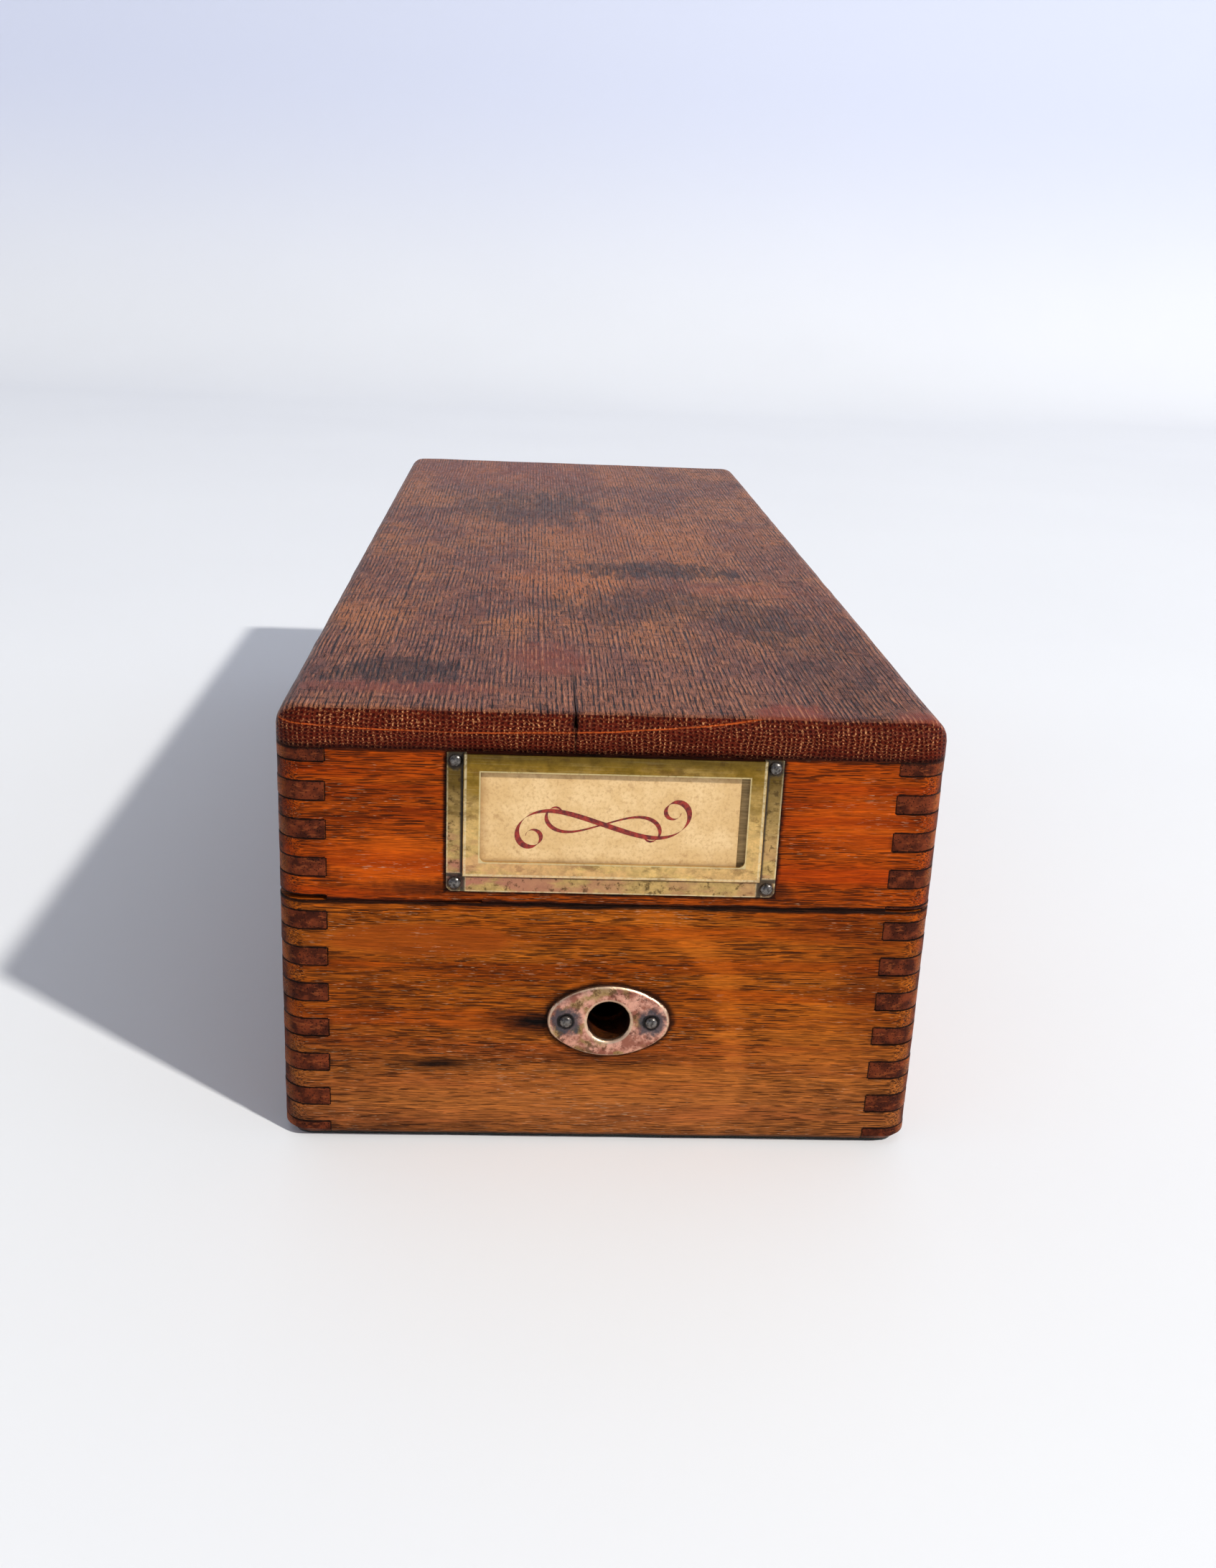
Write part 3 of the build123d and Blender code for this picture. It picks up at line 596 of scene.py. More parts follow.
def panel_oak():
    """The lid's top: rows of dark rays on the face, columns of golden dots on the end grain."""
    t = Tree("panel_oak")
    straight = t.join(t.y, t.x, t.z)
    wavy = warped(t, straight, 1.1, (60, 34, 34))
    across = t.add(t.split(wavy)[1], t.sway(wavy, (200, 5, 5), 2.2))
    comb = t.math("PINGPONG", across, RAY_SPACING / 2)
    face_colour, marks, fibre = panel_face(t, straight, wavy, comb)
    end_colour, pits = panel_end_grain(t, straight, wavy, comb)
    marks_and_shade, crack = panel_darkening(t)
    ends = t.step(t.facing(1), 0.30, 0.44)
    colour = t.mix(ends, face_colour, end_colour)
    # Painted shade along the panel's lower edge, and its crack and dent darkened.
    colour = t.mix(marks_and_shade, colour, GRIME_AND_SHADE)

    height = t.sub(t.mul(fibre, 0.3), t.mul(marks, t.flip(ends)))
    height = t.sub(t.sub(height, t.mul(pits, ends)), crack)
    normal = t.bump(t.noise(straight, (24, 5, 5), 2.0), 0.6, 0.5)
    normal = t.bump(height, 0.22, 1.0, normal)
    gloss = t.add(0.20, t.mul(t.noise(wavy, (10, 2, 2), 3.0, 0.6), 0.30))
    return t.surface(colour, gloss, normal, Specular_IOR_Level=DRY_VARNISH)


def inner_oak(name, along):
    """Bare, aged wood inside."""
    t = Tree(name)
    straight = t.join(t.y, t.z, t.x) if along == "Y" else t.join(t.x, t.z, t.y)
    wavy = warped(t, straight, 2.0, (80, 20, 20))
    bands = t.noise(wavy, (140, 6, 6), 3.0, 0.55)
    fibre = t.noise(wavy, (12, 0.4, 0.4), 2.0, 0.6)
    pores = pore_lines(t, wavy, 8.0, 0.45, 0.60, 0.68)
    colour = t.mix(t.step(bands, 0.3, 0.7), rgb(134, 90, 52), rgb(168, 124, 78))
    colour = t.lift(colour, t.add(0.75, t.mul(fibre, 0.5)))
    colour = t.mix(t.mul(pores, 0.6), colour, rgb(76, 46, 26))
    normal = t.bump(t.sub(t.mul(fibre, 0.3), pores), 0.08, 0.8)
    return t.surface(colour, 0.62, normal)


# Metals, paper and felt

def plate_pins():
    """The places of the rod plate's two pins."""
    return [
        (x, PLATE_LOW.y, PLATE_MIDDLE.z)
        for x in (PLATE_MIDDLE.x - PLATE_PIN_REACH, PLATE_MIDDLE.x + PLATE_PIN_REACH)
    ]


def holder_pins():
    """The places of the holder's four pins, on its flanges."""
    return [
        (x, PIN_SEAT, z)
        for x in (HOLDER_LOW.x + HOLDER_PIN_SIDE, HOLDER_HIGH.x - HOLDER_PIN_SIDE)
        for z in (HOLDER_LOW.z + HOLDER_PIN_BOTTOM, HOLDER_HIGH.z - HOLDER_PIN_TOP)
    ]


def near(t, value, place, width):
    """1 where a coordinate is within width of a place."""
    return t.step(t.size(t.sub(value, place)), width * 0.4, width, 1.0, 0.0)


def holder_patina(t, fine, brushed, on_flange):
    """Green and yellow brass, pink low on the left, dull and spotted on the flanges, with the
    panel's painted shadow along its top and painted highlights along its edges.
    """
    cloud = t.noise(t.place, (12, 9, 4), 4.0, 0.6)
    rise = t.add(t.z, t.mul(t.sub(cloud, 0.5), 30.0))
    greener = t.step(rise, HOLDER_MIDDLE.z - 4, HOLDER_HIGH.z - 1)
    colour = t.mix(greener, rgb(218, 180, 112), rgb(134, 104, 38))
    blotches = t.step(t.noise(t.place, (7, 5, 3.0), 5.0, 0.7), 0.54, 0.64, 0.0, 0.55)
    colour = t.mix(blotches, colour, rgb(108, 78, 38))
    colour = t.mix(t.step(brushed, 0.52, 0.74, 0.0, 0.14), colour, rgb(228, 208, 146))
    mottle = t.noise(t.place, (2.4, 2.4, 2.0), 5.0, 0.7)
    colour = t.lift(colour, t.step(mottle, 0.3, 0.7, 0.78, 1.24))
    low = t.step(t.z, HOLDER_MIDDLE.z + 4, HOLDER_LOW.z + 4)
    pink = t.step(t.noise(t.place, (9, 9, 4), 3.0, 0.6), 0.40, 0.56)
    left = t.step(t.x, HOLDER_MIDDLE.x + 20, HOLDER_LOW.x)
    share = t.mul(pink, t.mul(low, t.add(0.4, t.mul(on_flange, 0.55))))
    colour = t.mix(t.mul(share, t.add(0.4, t.mul(left, 0.6))), colour, rgb(208, 138, 112))
    colour = t.lift(colour, t.flip(t.mul(on_flange, 0.24)))
    # Painted shadow of the lid panel across the holder's top.
    panel_shadow = t.mul(t.step(t.z, HOLDER_HIGH.z - 3.2, HOLDER_HIGH.z - 0.6), 0.45)
    colour = t.mix(panel_shadow, colour, rgb(64, 54, 30))
    spots = t.step(t.noise(t.place, 1.7, 4.0, 0.65), 0.53, 0.66)
    colour = t.mix(t.mul(spots, t.add(0.15, t.mul(on_flange, 0.55))), colour, rgb(58, 38, 24))
    # Painted highlights along the outer edges of the frame and of the flanges.
    edge_highlights = t.most(
        near(t, t.x, FRAME_LEFT + 0.5, 0.4),
        near(t, t.x, FRAME_RIGHT - 0.5, 0.4),
        near(t, t.z, FRAME_LOW + 0.5, 0.4),
        near(t, t.x, HOLDER_LOW.x, 0.45),
        near(t, t.x, HOLDER_HIGH.x, 0.45),
        near(t, t.z, HOLDER_LOW.z, 0.45),
    )
    edge_highlights = t.mul(edge_highlights, t.step(fine, 0.36, 0.56, 0.3, 1.0))
    colour = t.mix(t.mul(edge_highlights, 0.6), colour, rgb(236, 216, 172))
    tarnish = t.mul(on_flange, t.step(t.z, HOLDER_MIDDLE.z - 6, HOLDER_HIGH.z - 4, 0.0, 0.55))
    return t.mix(tarnish, colour, rgb(84, 66, 38))


def holder_brass():
    """The holder's patina, painted shade along its bends, soiling round its pins, and a painted
    highlight on its window lip.
    """
    t = Tree("holder_brass")
    fine = t.noise(t.place, 1.0, 3.0, 0.65)
    brushed = t.noise(t.place, (16, 6, 0.35), 2.0)
    in_frame = t.mul(
        t.step(t.x, FRAME_LEFT - 0.2, FRAME_LEFT + 0.2),
        t.step(t.x, FRAME_RIGHT + 0.2, FRAME_RIGHT - 0.2),
    )
    in_frame = t.mul(in_frame, t.step(t.z, FRAME_LOW - 0.2, FRAME_LOW + 0.2))
    colour = holder_patina(t, fine, brushed, t.flip(in_frame))
    # Painted shade in the bends where the frame meets the flanges.
    bend = t.most(
        near(t, t.x, FRAME_LEFT, 0.9), near(t, t.x, FRAME_RIGHT, 0.9), near(t, t.z, FRAME_LOW, 0.8)
    )
    bend = t.mul(bend, t.step(t.y, FRONT - 1.5, FRONT - 0.9))
    pins = t.blots(*[(0.95, place, (2.3, 2.3, 2.3), 0.25, 0.5, 1.2) for place in holder_pins()])
    marks_and_shade = t.most(bend, pins)
    colour = t.mix(t.mul(marks_and_shade, 0.9), colour, rgb(22, 16, 12))
    # Painted highlight along the window's lip.
    lip_x = t.most(t.sub(WINDOW_LEFT, t.x), t.sub(t.x, WINDOW_RIGHT))
    lip_z = t.most(t.sub(WINDOW_LOW, t.z), t.sub(t.z, WINDOW_HIGH))
    lip = t.step(t.most(lip_x, lip_z), 0.16, 0.42, 1.0, 0.0)
    lip = t.mul(lip, t.step(fine, 0.3, 0.5, 0.4, 1.0))
    colour = t.mix(t.mul(lip, 0.75), colour, rgb(226, 206, 152))
    normal = t.bump(t.noise(t.place, (8, 8, 5), 2.0), 0.5, 0.8)
    normal = t.bump(t.add(t.mul(fine, 0.8), t.mul(brushed, 0.2)), 0.1, 0.6, normal)
    gloss = t.add(t.add(0.30, t.mul(fine, 0.22)), t.mul(marks_and_shade, 0.3))
    return t.surface(colour, gloss, normal, t.flip(t.mul(marks_and_shade, 0.7)))


def copper_plate():
    """Pink copper with brown mottling, blue-grey patches and dark rings round the pins, and painted
    highlights on its rims.
    """
    t = Tree("copper_plate")
    cloud = t.noise(t.place, 3.4, 4.0, 0.65)
    fine = t.noise(t.place, 0.8, 3.0, 0.65)
    colour = t.mix(t.step(cloud, 0.40, 0.60), rgb(158, 100, 82), rgb(228, 170, 146))
    green = t.step(t.noise(t.place, 4.0, 3.0), 0.52, 0.64, 0.0, 0.7)
    colour = t.mix(green, colour, rgb(160, 138, 78))
    spots = t.step(t.noise(t.place, 2.0, 5.0, 0.72), 0.52, 0.60)
    colour = t.mix(t.mul(spots, 0.7), colour, rgb(84, 50, 40))
    pins = t.blots(*[(1.0, place, (3.5, 4, 3.7), 0.3, 0.7, 1.8) for place in plate_pins()])
    colour = t.mix(t.mul(pins, 0.88), colour, rgb(54, 58, 66))
    rings = t.blots(*[(1.0, place, (2.2, 4, 2.2), 0.12, 0.2, 1.5) for place in plate_pins()])
    colour = t.mix(rings, colour, GRIME_AND_SHADE)
    # Painted highlights on the rims of the hole and of the plate.
    hole = t.vector("DISTANCE", t.place, (PLATE_MIDDLE.x, PLATE_LOW.y, PLATE_MIDDLE.z))
    rim_highlight = t.step(t.size(t.sub(hole, HOLE_RADIUS)), 0.2, 0.6, 1.0, 0.0)
    rim_highlight = t.most(rim_highlight, t.step(from_oval(t), 0.945, 0.97))
    colour = t.mix(t.mul(rim_highlight, 0.65), colour, rgb(226, 200, 168))
    normal = t.bump(t.add(t.mul(fine, 0.6), t.mul(spots, 0.4)), 0.08, 0.6)
    return t.surface(colour, t.add(0.28, t.mul(fine, 0.25)), normal, t.flip(t.mul(pins, 0.4)))


def old_brass():
    """Dull brass for the hinges, the slot guide and the nut."""
    t = Tree("old_brass")
    cloud = t.noise(t.place, 5.0, 4.0, 0.6)
    fine = t.noise(t.place, 0.9, 3.0, 0.6)
    colour = t.mix(t.step(cloud, 0.35, 0.65), rgb(118, 92, 48), rgb(182, 150, 86))
    colour = t.mix(t.step(fine, 0.55, 0.7, 0.0, 0.5), colour, rgb(62, 44, 24))
    normal = t.bump(fine, 0.08, 0.6)
    return t.surface(colour, t.add(0.3, t.mul(fine, 0.3)), normal, 0.9)


def old_steel(name, pale, dark, relief):
    """Steel between two tones, with its bumps as high as relief, in mm."""
    t = Tree(name)
    fine = t.noise(t.place, 0.7, 3.0, 0.6)
    colour = t.mix(t.step(fine, 0.4, 0.65), pale, dark)
    normal = t.bump(fine, relief, 0.6)
    return t.surface(colour, t.add(0.14, t.mul(fine, 0.3)), normal, 0.95)


def old_paper():
    """Foxed card, with painted shadow along the holder's window."""
    t = Tree("old_paper")
    cloud = t.noise(t.place, 7.0, 4.0, 0.6)
    fibre = t.noise(t.place, 0.8, 4.0, 0.7)
    colour = t.mix(t.step(cloud, 0.35, 0.65), rgb(222, 188, 136), rgb(208, 171, 116))
    colour = t.mix(t.step(fibre, 0.46, 0.66, 0.0, 0.6), colour, rgb(186, 146, 94))
    spots = t.step(t.noise(t.place, 2.6, 3.0, 0.6), 0.6, 0.72, 0.0, 0.45)
    colour = t.mix(spots, colour, rgb(158, 116, 70))
    # Painted shadow of the holder's frame along the window's left side, top and foot.
    edge = t.most(
        t.sub(WINDOW_LEFT + 2, t.x), t.sub(t.z, WINDOW_HIGH - 1.5), t.sub(WINDOW_LOW + 1, t.z)
    )
    edge = t.add(edge, t.sway(t.place, 3.0, 3.0, 3.0))
    colour = t.mix(t.step(edge, -0.6, 2.0, 0.0, 0.5), colour, rgb(150, 112, 66))
    return t.surface(colour, 0.85, t.bump(fibre, 0.06, 0.5))


def old_ink():
    """Dark red ink that ran thick and thin."""
    t = Tree("old_ink")
    flow = t.noise(t.place, 1.2, 3.0, 0.6)
    colour = t.mix(t.step(flow, 0.35, 0.65), rgb(84, 9, 6), rgb(150, 38, 20))
    return t.surface(colour, 0.6, t.bump(flow, 0.02, 0.3))


def dark_felt():
    """Nearly black felt."""
    t = Tree("dark_felt")
    fuzz = t.noise(t.place, 0.6, 4.0, 0.7)
    colour = t.mix(t.step(fuzz, 0.35, 0.7), rgb(14, 18, 16), rgb(40, 48, 42))
    return t.surface(colour, 0.95, t.bump(fuzz, 0.3, 0.8), Sheen_Weight=0.3)


# The material of each node

def dress(piece, material):
    """Gives a piece or a node one material."""
    piece.data.materials.clear()
    piece.data.materials.append(material)


BASE_TONES = rgb(98, 38, 7), rgb(158, 70, 9), rgb(181, 96, 24)
LID_TONES = rgb(88, 26, 4), rgb(150, 52, 4), rgb(182, 79, 12)
SIDE_TONES = rgb(82, 30, 9), rgb(128, 58, 18), rgb(156, 82, 32)
base_side = board_oak("base_side_oak", "Y", SIDE_TONES, BASE_FIRST_FINGER, plain_features)
lid_side = board_oak("lid_side_oak", "Y", SIDE_TONES, LID_FIRST_FINGER, plain_features)
inner = inner_oak("inner_oak", "Y")
brass = old_brass()
steel = old_steel("old_steel", rgb(158, 155, 150), rgb(66, 62, 60), relief=0.06)
pin_steel = old_steel("pin_steel", rgb(118, 113, 108), rgb(62, 58, 55), relief=0.015)
FINISH = {
    "base_front": board_oak(
        "base_front_oak", "X", BASE_TONES, BASE_FIRST_FINGER, base_front_features, crowding=0.12
    ),
    "base_back": board_oak("base_back_oak", "X", SIDE_TONES, BASE_FIRST_FINGER, plain_features),
    "base_side_left": base_side,
    "base_side_right": base_side,
    "lid_front": board_oak(
        "lid_front_oak", "X", LID_TONES, LID_FIRST_FINGER, lid_front_features,
        crowding=0.1, bare=UNVARNISHED,
    ),
    "lid_back": board_oak("lid_back_oak", "X", SIDE_TONES, LID_FIRST_FINGER, plain_features),
    "lid_side_left": lid_side,
    "lid_side_right": lid_side,
    "lid_panel": panel_oak(),
    "label_holder": holder_brass(),
    "label_holder_pins": pin_steel,
    "rod_plate": copper_plate(),
    "rod_plate_pins": pin_steel,
    "label_card": old_paper(),
    "felt": dark_felt(),
    "bottom_board": inner,
    "floor_cleat_left": inner,
    "floor_cleat_right": inner,
    "floor_board_left": inner,
    "floor_board_right": inner,
    "follower_support": inner_oak("follower_oak", "X"),
    "follower_bracket": steel,
    "follower_screws": steel,
    "slot_guide": brass,
    "clamp_plate": steel,
    "clamp_stud": steel,
    "clamp_washer": steel,
    "thumb_nut": brass,
    "bottom_brads": steel,
    "base_hinge_screws": brass,
    "lid_hinge_screws": brass,
}
for side in ("left", "right"):
    for piece in ("base_leaf", "lid_leaf", "pin"):
        FINISH[f"hinge_{side}_{piece}"] = brass
for part, node in nodes.items():
    dress(node, FINISH[part])


# Pieces

SHARP_EDGE = math.radians(50)
SMOOTH_UNDER = math.radians(35)
BOARD_WEAR = {"edge": 0.28, "spacing": 7.0, "reach": 0.10, "size": 5.0}
HOLDER_WEAR = {"edge": 0.14, "spacing": 3.0, "reach": 0.05, "size": 9.0}
PLATE_WEAR = {"edge": 0.08, "spacing": 2.5, "reach": 0.03, "size": 9.0}


def make_piece(name, shape, part):
    """Turns a shape in mm into a smooth-shaded piece that rides with a CAD node."""
    mesh = bpy.data.meshes.new(name)
    shape.to_mesh(mesh)
    shape.free()
    mesh.transform(Matrix.Scale(MM, 4))
    for face in mesh.polygons:
        face.use_smooth = True
    mesh.set_sharp_from_angle(angle=SMOOTH_UNDER)
    piece = bpy.data.objects.new(name, mesh)
    bpy.context.scene.collection.objects.link(piece)
    dress(piece, FINISH[part])
    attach(piece, body_of(nodes[part])[0])
    return piece


def node_shape(part):
    """A CAD node's mesh in mm, with its flat faces whole again."""
    shape = bmesh.new()
    shape.from_mesh(nodes[part].data)
    shape.transform(Matrix.Scale(1 / MM, 4))
    bmesh.ops.remove_doubles(shape, verts=shape.verts, dist=0.001)
    bmesh.ops.dissolve_limit(
        shape, angle_limit=math.radians(1), verts=shape.verts, edges=shape.edges
    )
    return shape


def bevel_sharp(shape, width):
    """Rounds every sharp edge."""
    sharp = [edge for edge in shape.edges if edge.calc_face_angle(0) > SHARP_EDGE]
    bmesh.ops.bevel(
        shape, geom=sharp, offset=width, segments=2, profile=0.6, affect="EDGES", clamp_overlap=True
    )


def cut_across(shape, spacing):
    """Divides a shape by level planes along all three axes, so that it can be worn unevenly."""
    for axis in range(3):
        low = min(vertex.co[axis] for vertex in shape.verts)
        high = max(vertex.co[axis] for vertex in shape.verts)
        steps = int((high - low) / spacing)
        normal = Vector([float(axis == n) for n in range(3)])
        for n in range(1, steps):
            place = normal * (low + n * (high - low) / steps)
            geometry = shape.verts[:] + shape.edges[:] + shape.faces[:]
            bmesh.ops.bisect_plane(shape, geom=geometry, plane_co=place, plane_no=normal, dist=0.01)


def wear(shape, reach, size, seed):
    """Moves each vertex a little, by smooth noise of one size and of four times that."""
    shift = Vector((seed * 31.7, seed * 17.3, seed * 7.9))
    for vertex in shape.verts:
        fine = noise.noise_vector(vertex.co / size + shift)
        slow = noise.noise_vector(vertex.co / (size * 4) + shift)
        vertex.co += (fine + slow) * reach


def carve(shape, cutters):
    """Takes the cutters, closed shapes in mm, out of the shape."""
    made = []
    for each in (shape, *cutters):
        mesh = bpy.data.meshes.new("carving")
        each.to_mesh(mesh)
        each.free()
        body = bpy.data.objects.new("carving", mesh)
        bpy.context.scene.collection.objects.link(body)
        made.append(body)
    for cutter in made[1:]:
        change = made[0].modifiers.new("carve", "BOOLEAN")
        change.operation = "DIFFERENCE"
        change.solver = "EXACT"
        change.object = cutter
    bpy.context.view_layer.update()
    carved = bmesh.new()
    carved.from_object(made[0], bpy.context.evaluated_depsgraph_get())
    for body in made:
        mesh = body.data
        bpy.data.objects.remove(body)
        bpy.data.meshes.remove(mesh)
    return carved


def prism(outline, axis, low, high):
    """A closed shape: an outline in the two other axes, drawn out along one."""
    shape = bmesh.new()
    rings = []
    for level in (low, high):
        ring = []
        for point in outline:
            place = list(point)
            place.insert(axis, level)
            ring.append(shape.verts.new(place))
        rings.append(ring)
    shape.faces.new(rings[0])
    shape.faces.new(rings[1])
    for n in range(len(outline)):
        m = (n + 1) % len(outline)
        shape.faces.new((rings[0][n], rings[0][m], rings[1][m], rings[1][n]))
    bmesh.ops.recalc_face_normals(shape, faces=shape.faces)
    return shape


def make_worn(part, seed, edge, spacing, reach, size, cutters=()):
    """Stands for a node: less the cutters, its edges rounded and its faces a little uneven."""
    shape = node_shape(part)
    if cutters:
        shape = carve(shape, cutters)
    bevel_sharp(shape, edge)
    cut_across(shape, spacing)
    wear(shape, reach, size, seed)
    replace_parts(make_piece(part + "_worn", shape, part), part)


def make_boards():
    """The walls and the panel, with the crack, the split edge and the chipped corner."""
    out = FRONT - 1.0
    deep = FRONT + 4.0
    above = TOP + 1.0
    below = SEAM - 0.5
    crack = prism(
        [(CRACK_X - 0.15, out), (CRACK_X + 0.15, out), (CRACK_X, FRONT + 34)],
        2, TOP - CRACK_DEPTH, above,
    )
    dent = prism(
        [(CRACK_X - 0.8, out), (CRACK_X + 0.6, out), (CRACK_X, deep)], 2, TOP - DENT_DEPTH, above
    )
    splinter = prism(
        [(-49.0, below), (-29.9, below), (-30.3, SEAM + 0.85), (-40.0, SEAM + 0.55)], 1, out, deep
    )
    chip = prism(
        [(66.8, below), (77.0, below), (76.2, SEAM + 0.55), (67.4, SEAM + 0.8)], 1, out, deep
    )
    chip_of_side = chip.copy()
    make_worn("lid_panel", seed=1, **BOARD_WEAR, cutters=(crack, dent))
    make_worn("lid_front", seed=2, **BOARD_WEAR, cutters=(splinter, chip))
    make_worn("lid_side_right", seed=3, **BOARD_WEAR, cutters=(chip_of_side,))
    whole = (
        "lid_side_left", "lid_back", "base_front", "base_side_left", "base_side_right", "base_back"
    )
    for seed, part in enumerate(whole, 4):
        make_worn(part, seed, **BOARD_WEAR)


def lathe(shape, profile, middle, turn, sides=28):
    """Adds a turned form to a shape: (radius, height) pairs, turned about -Y at a place."""
    rings = []
    for radius, height in profile:
        ring = []
        for n in range(sides):
            angle = turn + 2 * math.pi * n / sides
            ring.append(shape.verts.new((
                middle[0] + radius * math.cos(angle),
                middle[1] - height,
                middle[2] + radius * math.sin(angle),
            )))
        rings.append(ring)
    for low, high in zip(rings, rings[1:]):
        for n in range(sides):
            m = (n + 1) % sides
            shape.faces.new((low[n], low[m], high[m], high[n]))
    shape.faces.new(rings[0])
    shape.faces.new(rings[-1])


def make_pins(part, places):
    """Domed pins, each a little different, with their shanks."""
    radius, height, skirt = 1.65, 1.1, 0.12
    shank, depth = 0.55, 9.0
    rings = 8
    shape = bmesh.new()
    for n, place in enumerate(places):
        own = radius * (0.97 + 0.03 * math.sin(5.1 * n))
        profile = [(shank, -depth), (shank, 0.0), (own * 0.93, 0.0), (own, skirt)]
        for k in range(1, rings):
            angle = math.pi / 2 * k / rings
            profile.append((own * math.cos(angle), skirt + (height - skirt) * math.sin(angle)))
        lathe(shape, profile, place, 0.4 * n)
    bmesh.ops.recalc_face_normals(shape, faces=shape.faces)
    wear(shape, reach=0.03, size=0.9, seed=5)
    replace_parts(make_piece(part + "_domed", shape, part), part)


def card_bow(x, z):
    """How far the card bows out in front of its flat place."""
    bow, waves = 0.10, 0.03
    share_x = (x - CARD_LOW.x) / (CARD_HIGH.x - CARD_LOW.x)
    share_z = (z - CARD_LOW.z) / (CARD_HIGH.z - CARD_LOW.z)
    bow *= math.sin(math.pi * share_x) * math.sin(math.pi * share_z)
    return bow + waves * noise.noise(Vector((x / 12, 3.0, z / 9)))


def make_card():
    """A thin card that bows a little in its pocket."""
    columns, rows = 40, 20
    foot = CARD_LOW.z + 0.05
    shape = bmesh.new()
    faces = []
    for y in (CARD_LOW.y, CARD_HIGH.y):
        grid = []
        for row in range(rows + 1):
            z = foot + (CARD_HIGH.z - foot) * row / rows
            line = []
            for column in range(columns + 1):
                x = CARD_LOW.x + (CARD_HIGH.x - CARD_LOW.x) * column / columns
                line.append(shape.verts.new((x, y - card_bow(x, z), z)))
            grid.append(line)
        faces.append(grid)
    rims = []
    for grid in faces:
        for low, high in zip(grid, grid[1:]):
            for n in range(columns):
                shape.faces.new((low[n], low[n + 1], high[n + 1], high[n]))
        # Once round the card: foot, right side, head and left side
        rims.append(
            grid[0][:-1] + [line[-1] for line in grid[:-1]]
            + grid[-1][:0:-1] + [line[0] for line in grid[:0:-1]]
        )
    for n in range(len(rims[0])):
        m = (n + 1) % len(rims[0])
        shape.faces.new((rims[0][n], rims[0][m], rims[1][m], rims[1][n]))
    bmesh.ops.recalc_face_normals(shape, faces=shape.faces)
    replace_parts(make_piece("label_card_bowed", shape, "label_card"), "label_card")


def scroll(turns, steps=240):
    """A line that curls up at both ends: points in no unit."""
    tilt = 0.32
    half = [Vector((0.0, 0.0))]
    for n in range(steps):
        s = (n + 0.5) / steps
        angle = 2 * math.pi * turns * s ** 3 - tilt
        half.append(half[-1] + Vector((math.cos(angle), math.sin(angle))))
    return [-point for point in half[:0:-1]] + half


def make_flourish():
    """Two pen scrolls in dark red ink that cross on the card. They hold no letters."""
    nib_angle = math.radians(42)
    ink = 0.03
    scrolls = ((37.0, 1.0, 1.3, 0.72), (20.0, -1.0, 0.8, 0.5))
    middle = Vector(((WINDOW_LEFT + WINDOW_RIGHT) / 2 - 2.5, (WINDOW_LOW + WINDOW_HIGH) / 2 - 1.4))
    pen = Vector((math.cos(nib_angle), math.sin(nib_angle)))
    shape = bmesh.new()
    for width, height, turns, reach in scrolls:
        line = scroll(turns)
        share = width / (line[-1] - line[0]).length
        before = None
        for n, point in enumerate(line):
            s = n / (len(line) - 1)
            point = middle + Vector((point.x, point.y * height)) * share
            nib = pen * reach * min(1.0, 10 * s + 0.1, 10 * (1 - s) + 0.1)
            pair = []
            for place in (point - nib, point + nib):
                y = CARD_LOW.y - card_bow(place.x, place.y) - ink
                pair.append(shape.verts.new((place.x, y, place.y)))
            if before:
                shape.faces.new((before[0], before[1], pair[1], pair[0]))
            before = pair
    piece = make_piece("flourish", shape, "label_card")
    dress(piece, old_ink())


def make_felt():
    """The felt under the box, its cut edge ragged."""
    corner, arc = 4.8, 6
    spacing, trim, ragged = 2.5, 0.15, 0.3
    outline = []
    for turn, (sx, sy) in enumerate(((1, 1), (-1, 1), (-1, -1), (1, -1))):
        middle = Vector((sx * (FELT_HIGH.x - corner), sy * (FELT_HIGH.y - corner)))
        for n in range(arc + 1):
            angle = math.pi / 2 * (turn + n / arc)
            outline.append(middle + corner * Vector((math.cos(angle), math.sin(angle))))
    points = []
    for here, there in zip(outline, outline[1:] + outline[:1]):
        steps = max(1, int((there - here).length / spacing))
        points += [here.lerp(there, n / steps) for n in range(steps)]
    shape = bmesh.new()
    rings = []
    for level, inset in ((FELT_LOW.z, 0.15), (0.4 * FELT_HIGH.z, 0.0), (FELT_HIGH.z - 0.02, 0.1)):
        ring = []
        for point in points:
            wave = noise.noise(Vector((point.x / 3, point.y / 3, 2.0)))
            place = point - point.normalized() * (inset + trim + ragged * wave)
            ring.append(shape.verts.new((place.x, place.y, level)))
        rings.append(ring)
    for low, high in zip(rings, rings[1:]):
        for n in range(len(points)):
            m = (n + 1) % len(points)
            shape.faces.new((low[n], low[m], high[m], high[n]))
    shape.faces.new(rings[0][::-1])
    shape.faces.new(rings[-1])
    piece = make_piece("felt_cut", shape, "felt")
    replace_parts(piece, "felt")


make_boards()
make_worn("label_holder", seed=21, **HOLDER_WEAR)
make_worn("rod_plate", seed=22, **PLATE_WEAR)
make_pins("label_holder_pins", holder_pins())
make_pins("rod_plate_pins", plate_pins())
make_card()
make_flourish()
make_felt()


# Stage

LIT_PLACE = Vector((0, 0, 0.05))
SKY = (0.93, 0.955, 1.0, 1.0)
SKY_STRENGTH = 0.40


def floor_finish():
    """Nearly white paper, a little bluer where it rises."""
    t = Tree("floor")
    cloud = t.noise(t.place, 300, 2.0)
    colour = t.mix(cloud, rgb(229, 230, 231), rgb(235, 236, 236))
    colour = t.mix(t.step(t.z, 5.0, 500.0), colour, rgb(206, 211, 228))
    return t.surface(colour, 0.7, t.bump(t.noise(t.place, 40, 3.0), 0.2, 0.3))


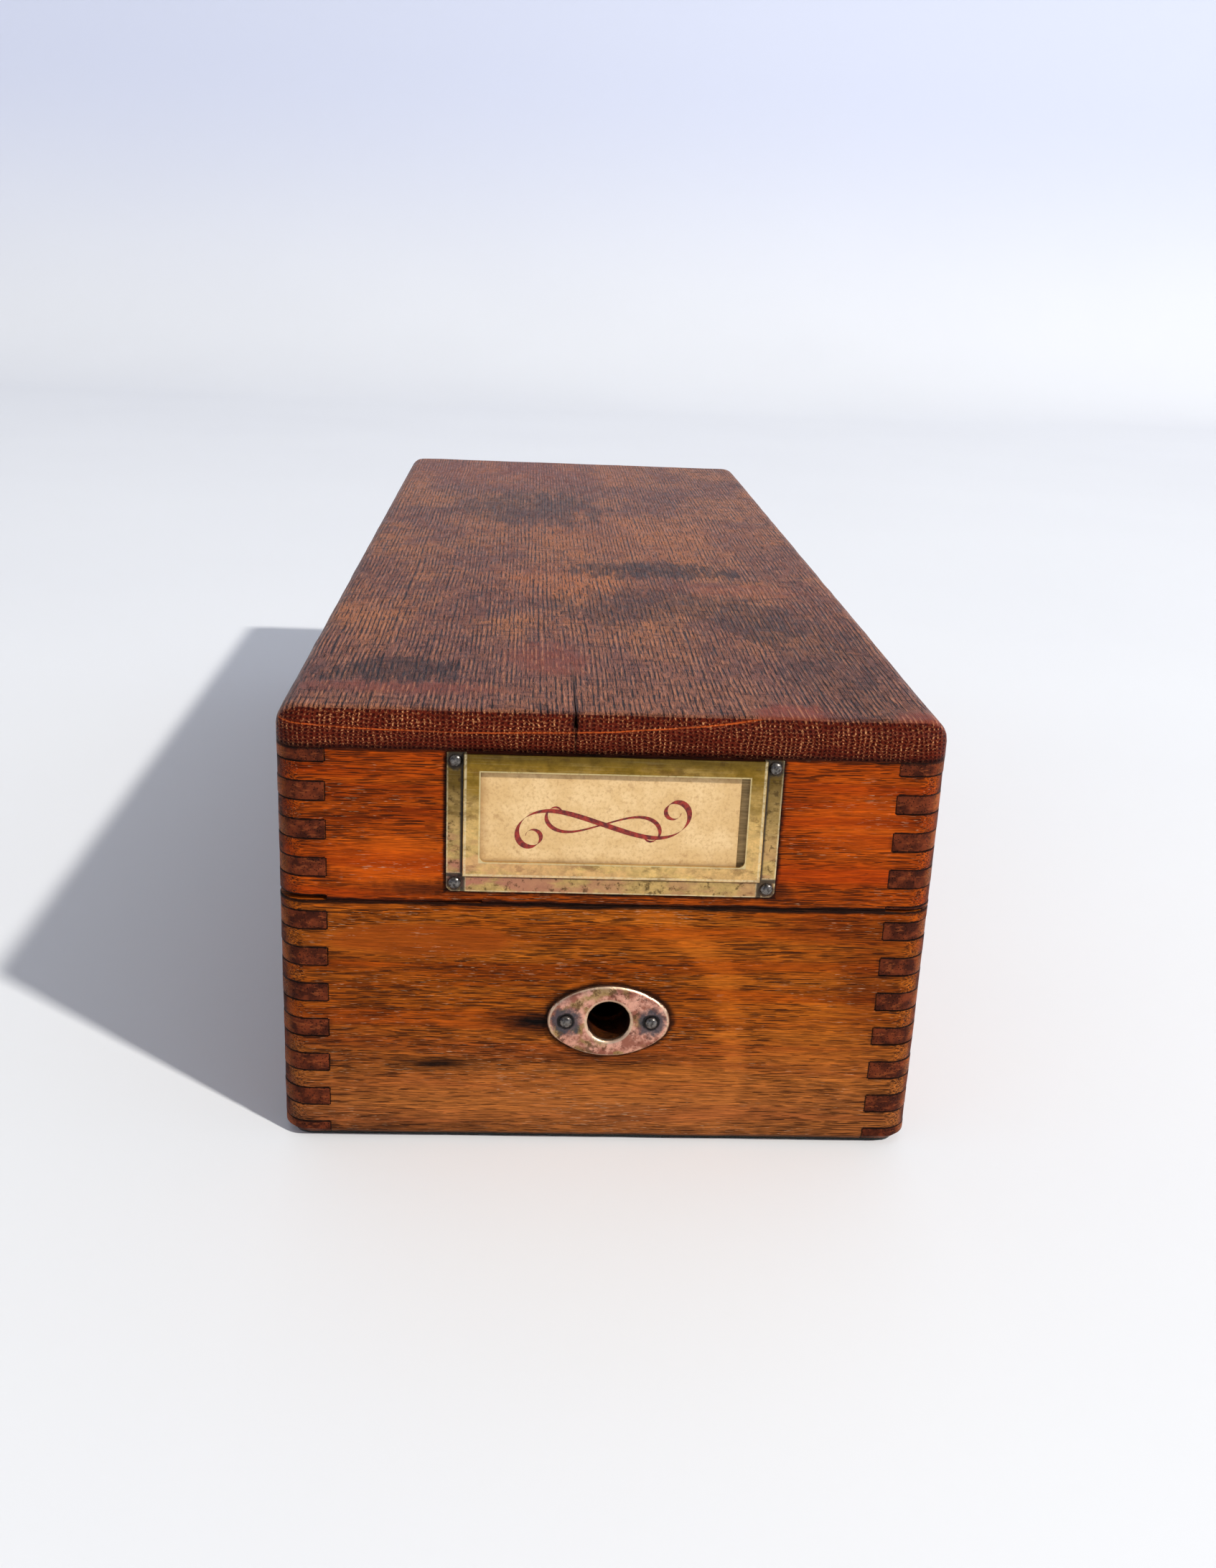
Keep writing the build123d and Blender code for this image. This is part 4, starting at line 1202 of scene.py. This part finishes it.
def make_floor():
    """A pale floor that curves up all round, close behind the box and far away in front of it."""
    near_bend = 1.6
    far_bend = 7.0
    bend_radius = 0.8
    height = 3.5
    arc = 16
    sides = 128
    profile = [(0.0, 0.0)]
    for n in range(1, arc + 1):
        angle = math.pi / 2 * n / arc
        profile.append((bend_radius * math.sin(angle), bend_radius * (1 - math.cos(angle))))
    profile.append((bend_radius, height))
    points = []
    for out, z in profile:
        for n in range(sides):
            turn = 2 * math.pi * n / sides
            reach = near_bend + (far_bend - near_bend) * (1 - math.sin(turn)) / 2 + out
            points.append((reach * math.cos(turn), reach * math.sin(turn), z))
    faces = [list(range(sides))]
    for ring in range(len(profile) - 1):
        for n in range(sides):
            m = (n + 1) % sides
            low, high = ring * sides, (ring + 1) * sides
            faces.append((low + m, low + n, high + n, high + m))
    mesh = bpy.data.meshes.new("floor")
    mesh.from_pydata(points, [], faces)
    for face in mesh.polygons[1:]:
        face.use_smooth = True
    floor = bpy.data.objects.new("floor", mesh)
    bpy.context.scene.collection.objects.link(floor)
    dress(floor, floor_finish())


def make_light(name, toward, distance, size, watts, colour):
    """A square light that shines on the box from the direction given."""
    data = bpy.data.lights.new(name, "AREA")
    data.shape = "SQUARE"
    data.size = size
    data.energy = watts
    data.color = colour
    light = bpy.data.objects.new(name, data)
    direction = Vector(toward).normalized()
    light.location = LIT_PLACE + direction * distance
    light.rotation_euler = direction.to_track_quat("Z", "Y").to_euler()
    bpy.context.scene.collection.objects.link(light)


def make_world():
    """A pale sky that fills the shadows."""
    world = bpy.data.worlds.new("studio")
    world.use_nodes = True
    background = world.node_tree.nodes["Background"]
    background.inputs["Color"].default_value = SKY
    background.inputs["Strength"].default_value = SKY_STRENGTH
    bpy.context.scene.world = world


def make_camera():
    """The camera that fits the photograph."""
    data = bpy.data.cameras.new("camera")
    data.sensor_width = SENSOR
    data.lens = FOCAL_PIXELS / PHOTO_HEIGHT * SENSOR
    data.clip_start = 0.01
    camera = bpy.data.objects.new("camera", data)
    cos_pitch = math.cos(CAMERA_PITCH)
    forward = Vector((
        -math.sin(CAMERA_YAW) * cos_pitch, math.cos(CAMERA_YAW) * cos_pitch, -math.sin(CAMERA_PITCH)
    ))
    level = Vector((math.cos(CAMERA_YAW), math.sin(CAMERA_YAW), 0))
    upright = level.cross(forward)
    right = math.cos(CAMERA_ROLL) * level + math.sin(CAMERA_ROLL) * upright
    up = -math.sin(CAMERA_ROLL) * level + math.cos(CAMERA_ROLL) * upright
    turn = Matrix((right, up, -forward)).transposed().to_4x4()
    camera.matrix_world = Matrix.Translation(CAMERA_PLACE) @ turn
    bpy.context.scene.collection.objects.link(camera)
    bpy.context.scene.camera = camera


make_floor()
make_light(
    "key", toward=(0.56, -0.53, 0.635), distance=6.0, size=0.24, watts=368, colour=(1.0, 0.98, 0.94)
)
make_world()
make_camera()
bpy.context.scene.view_settings.view_transform = "Standard"
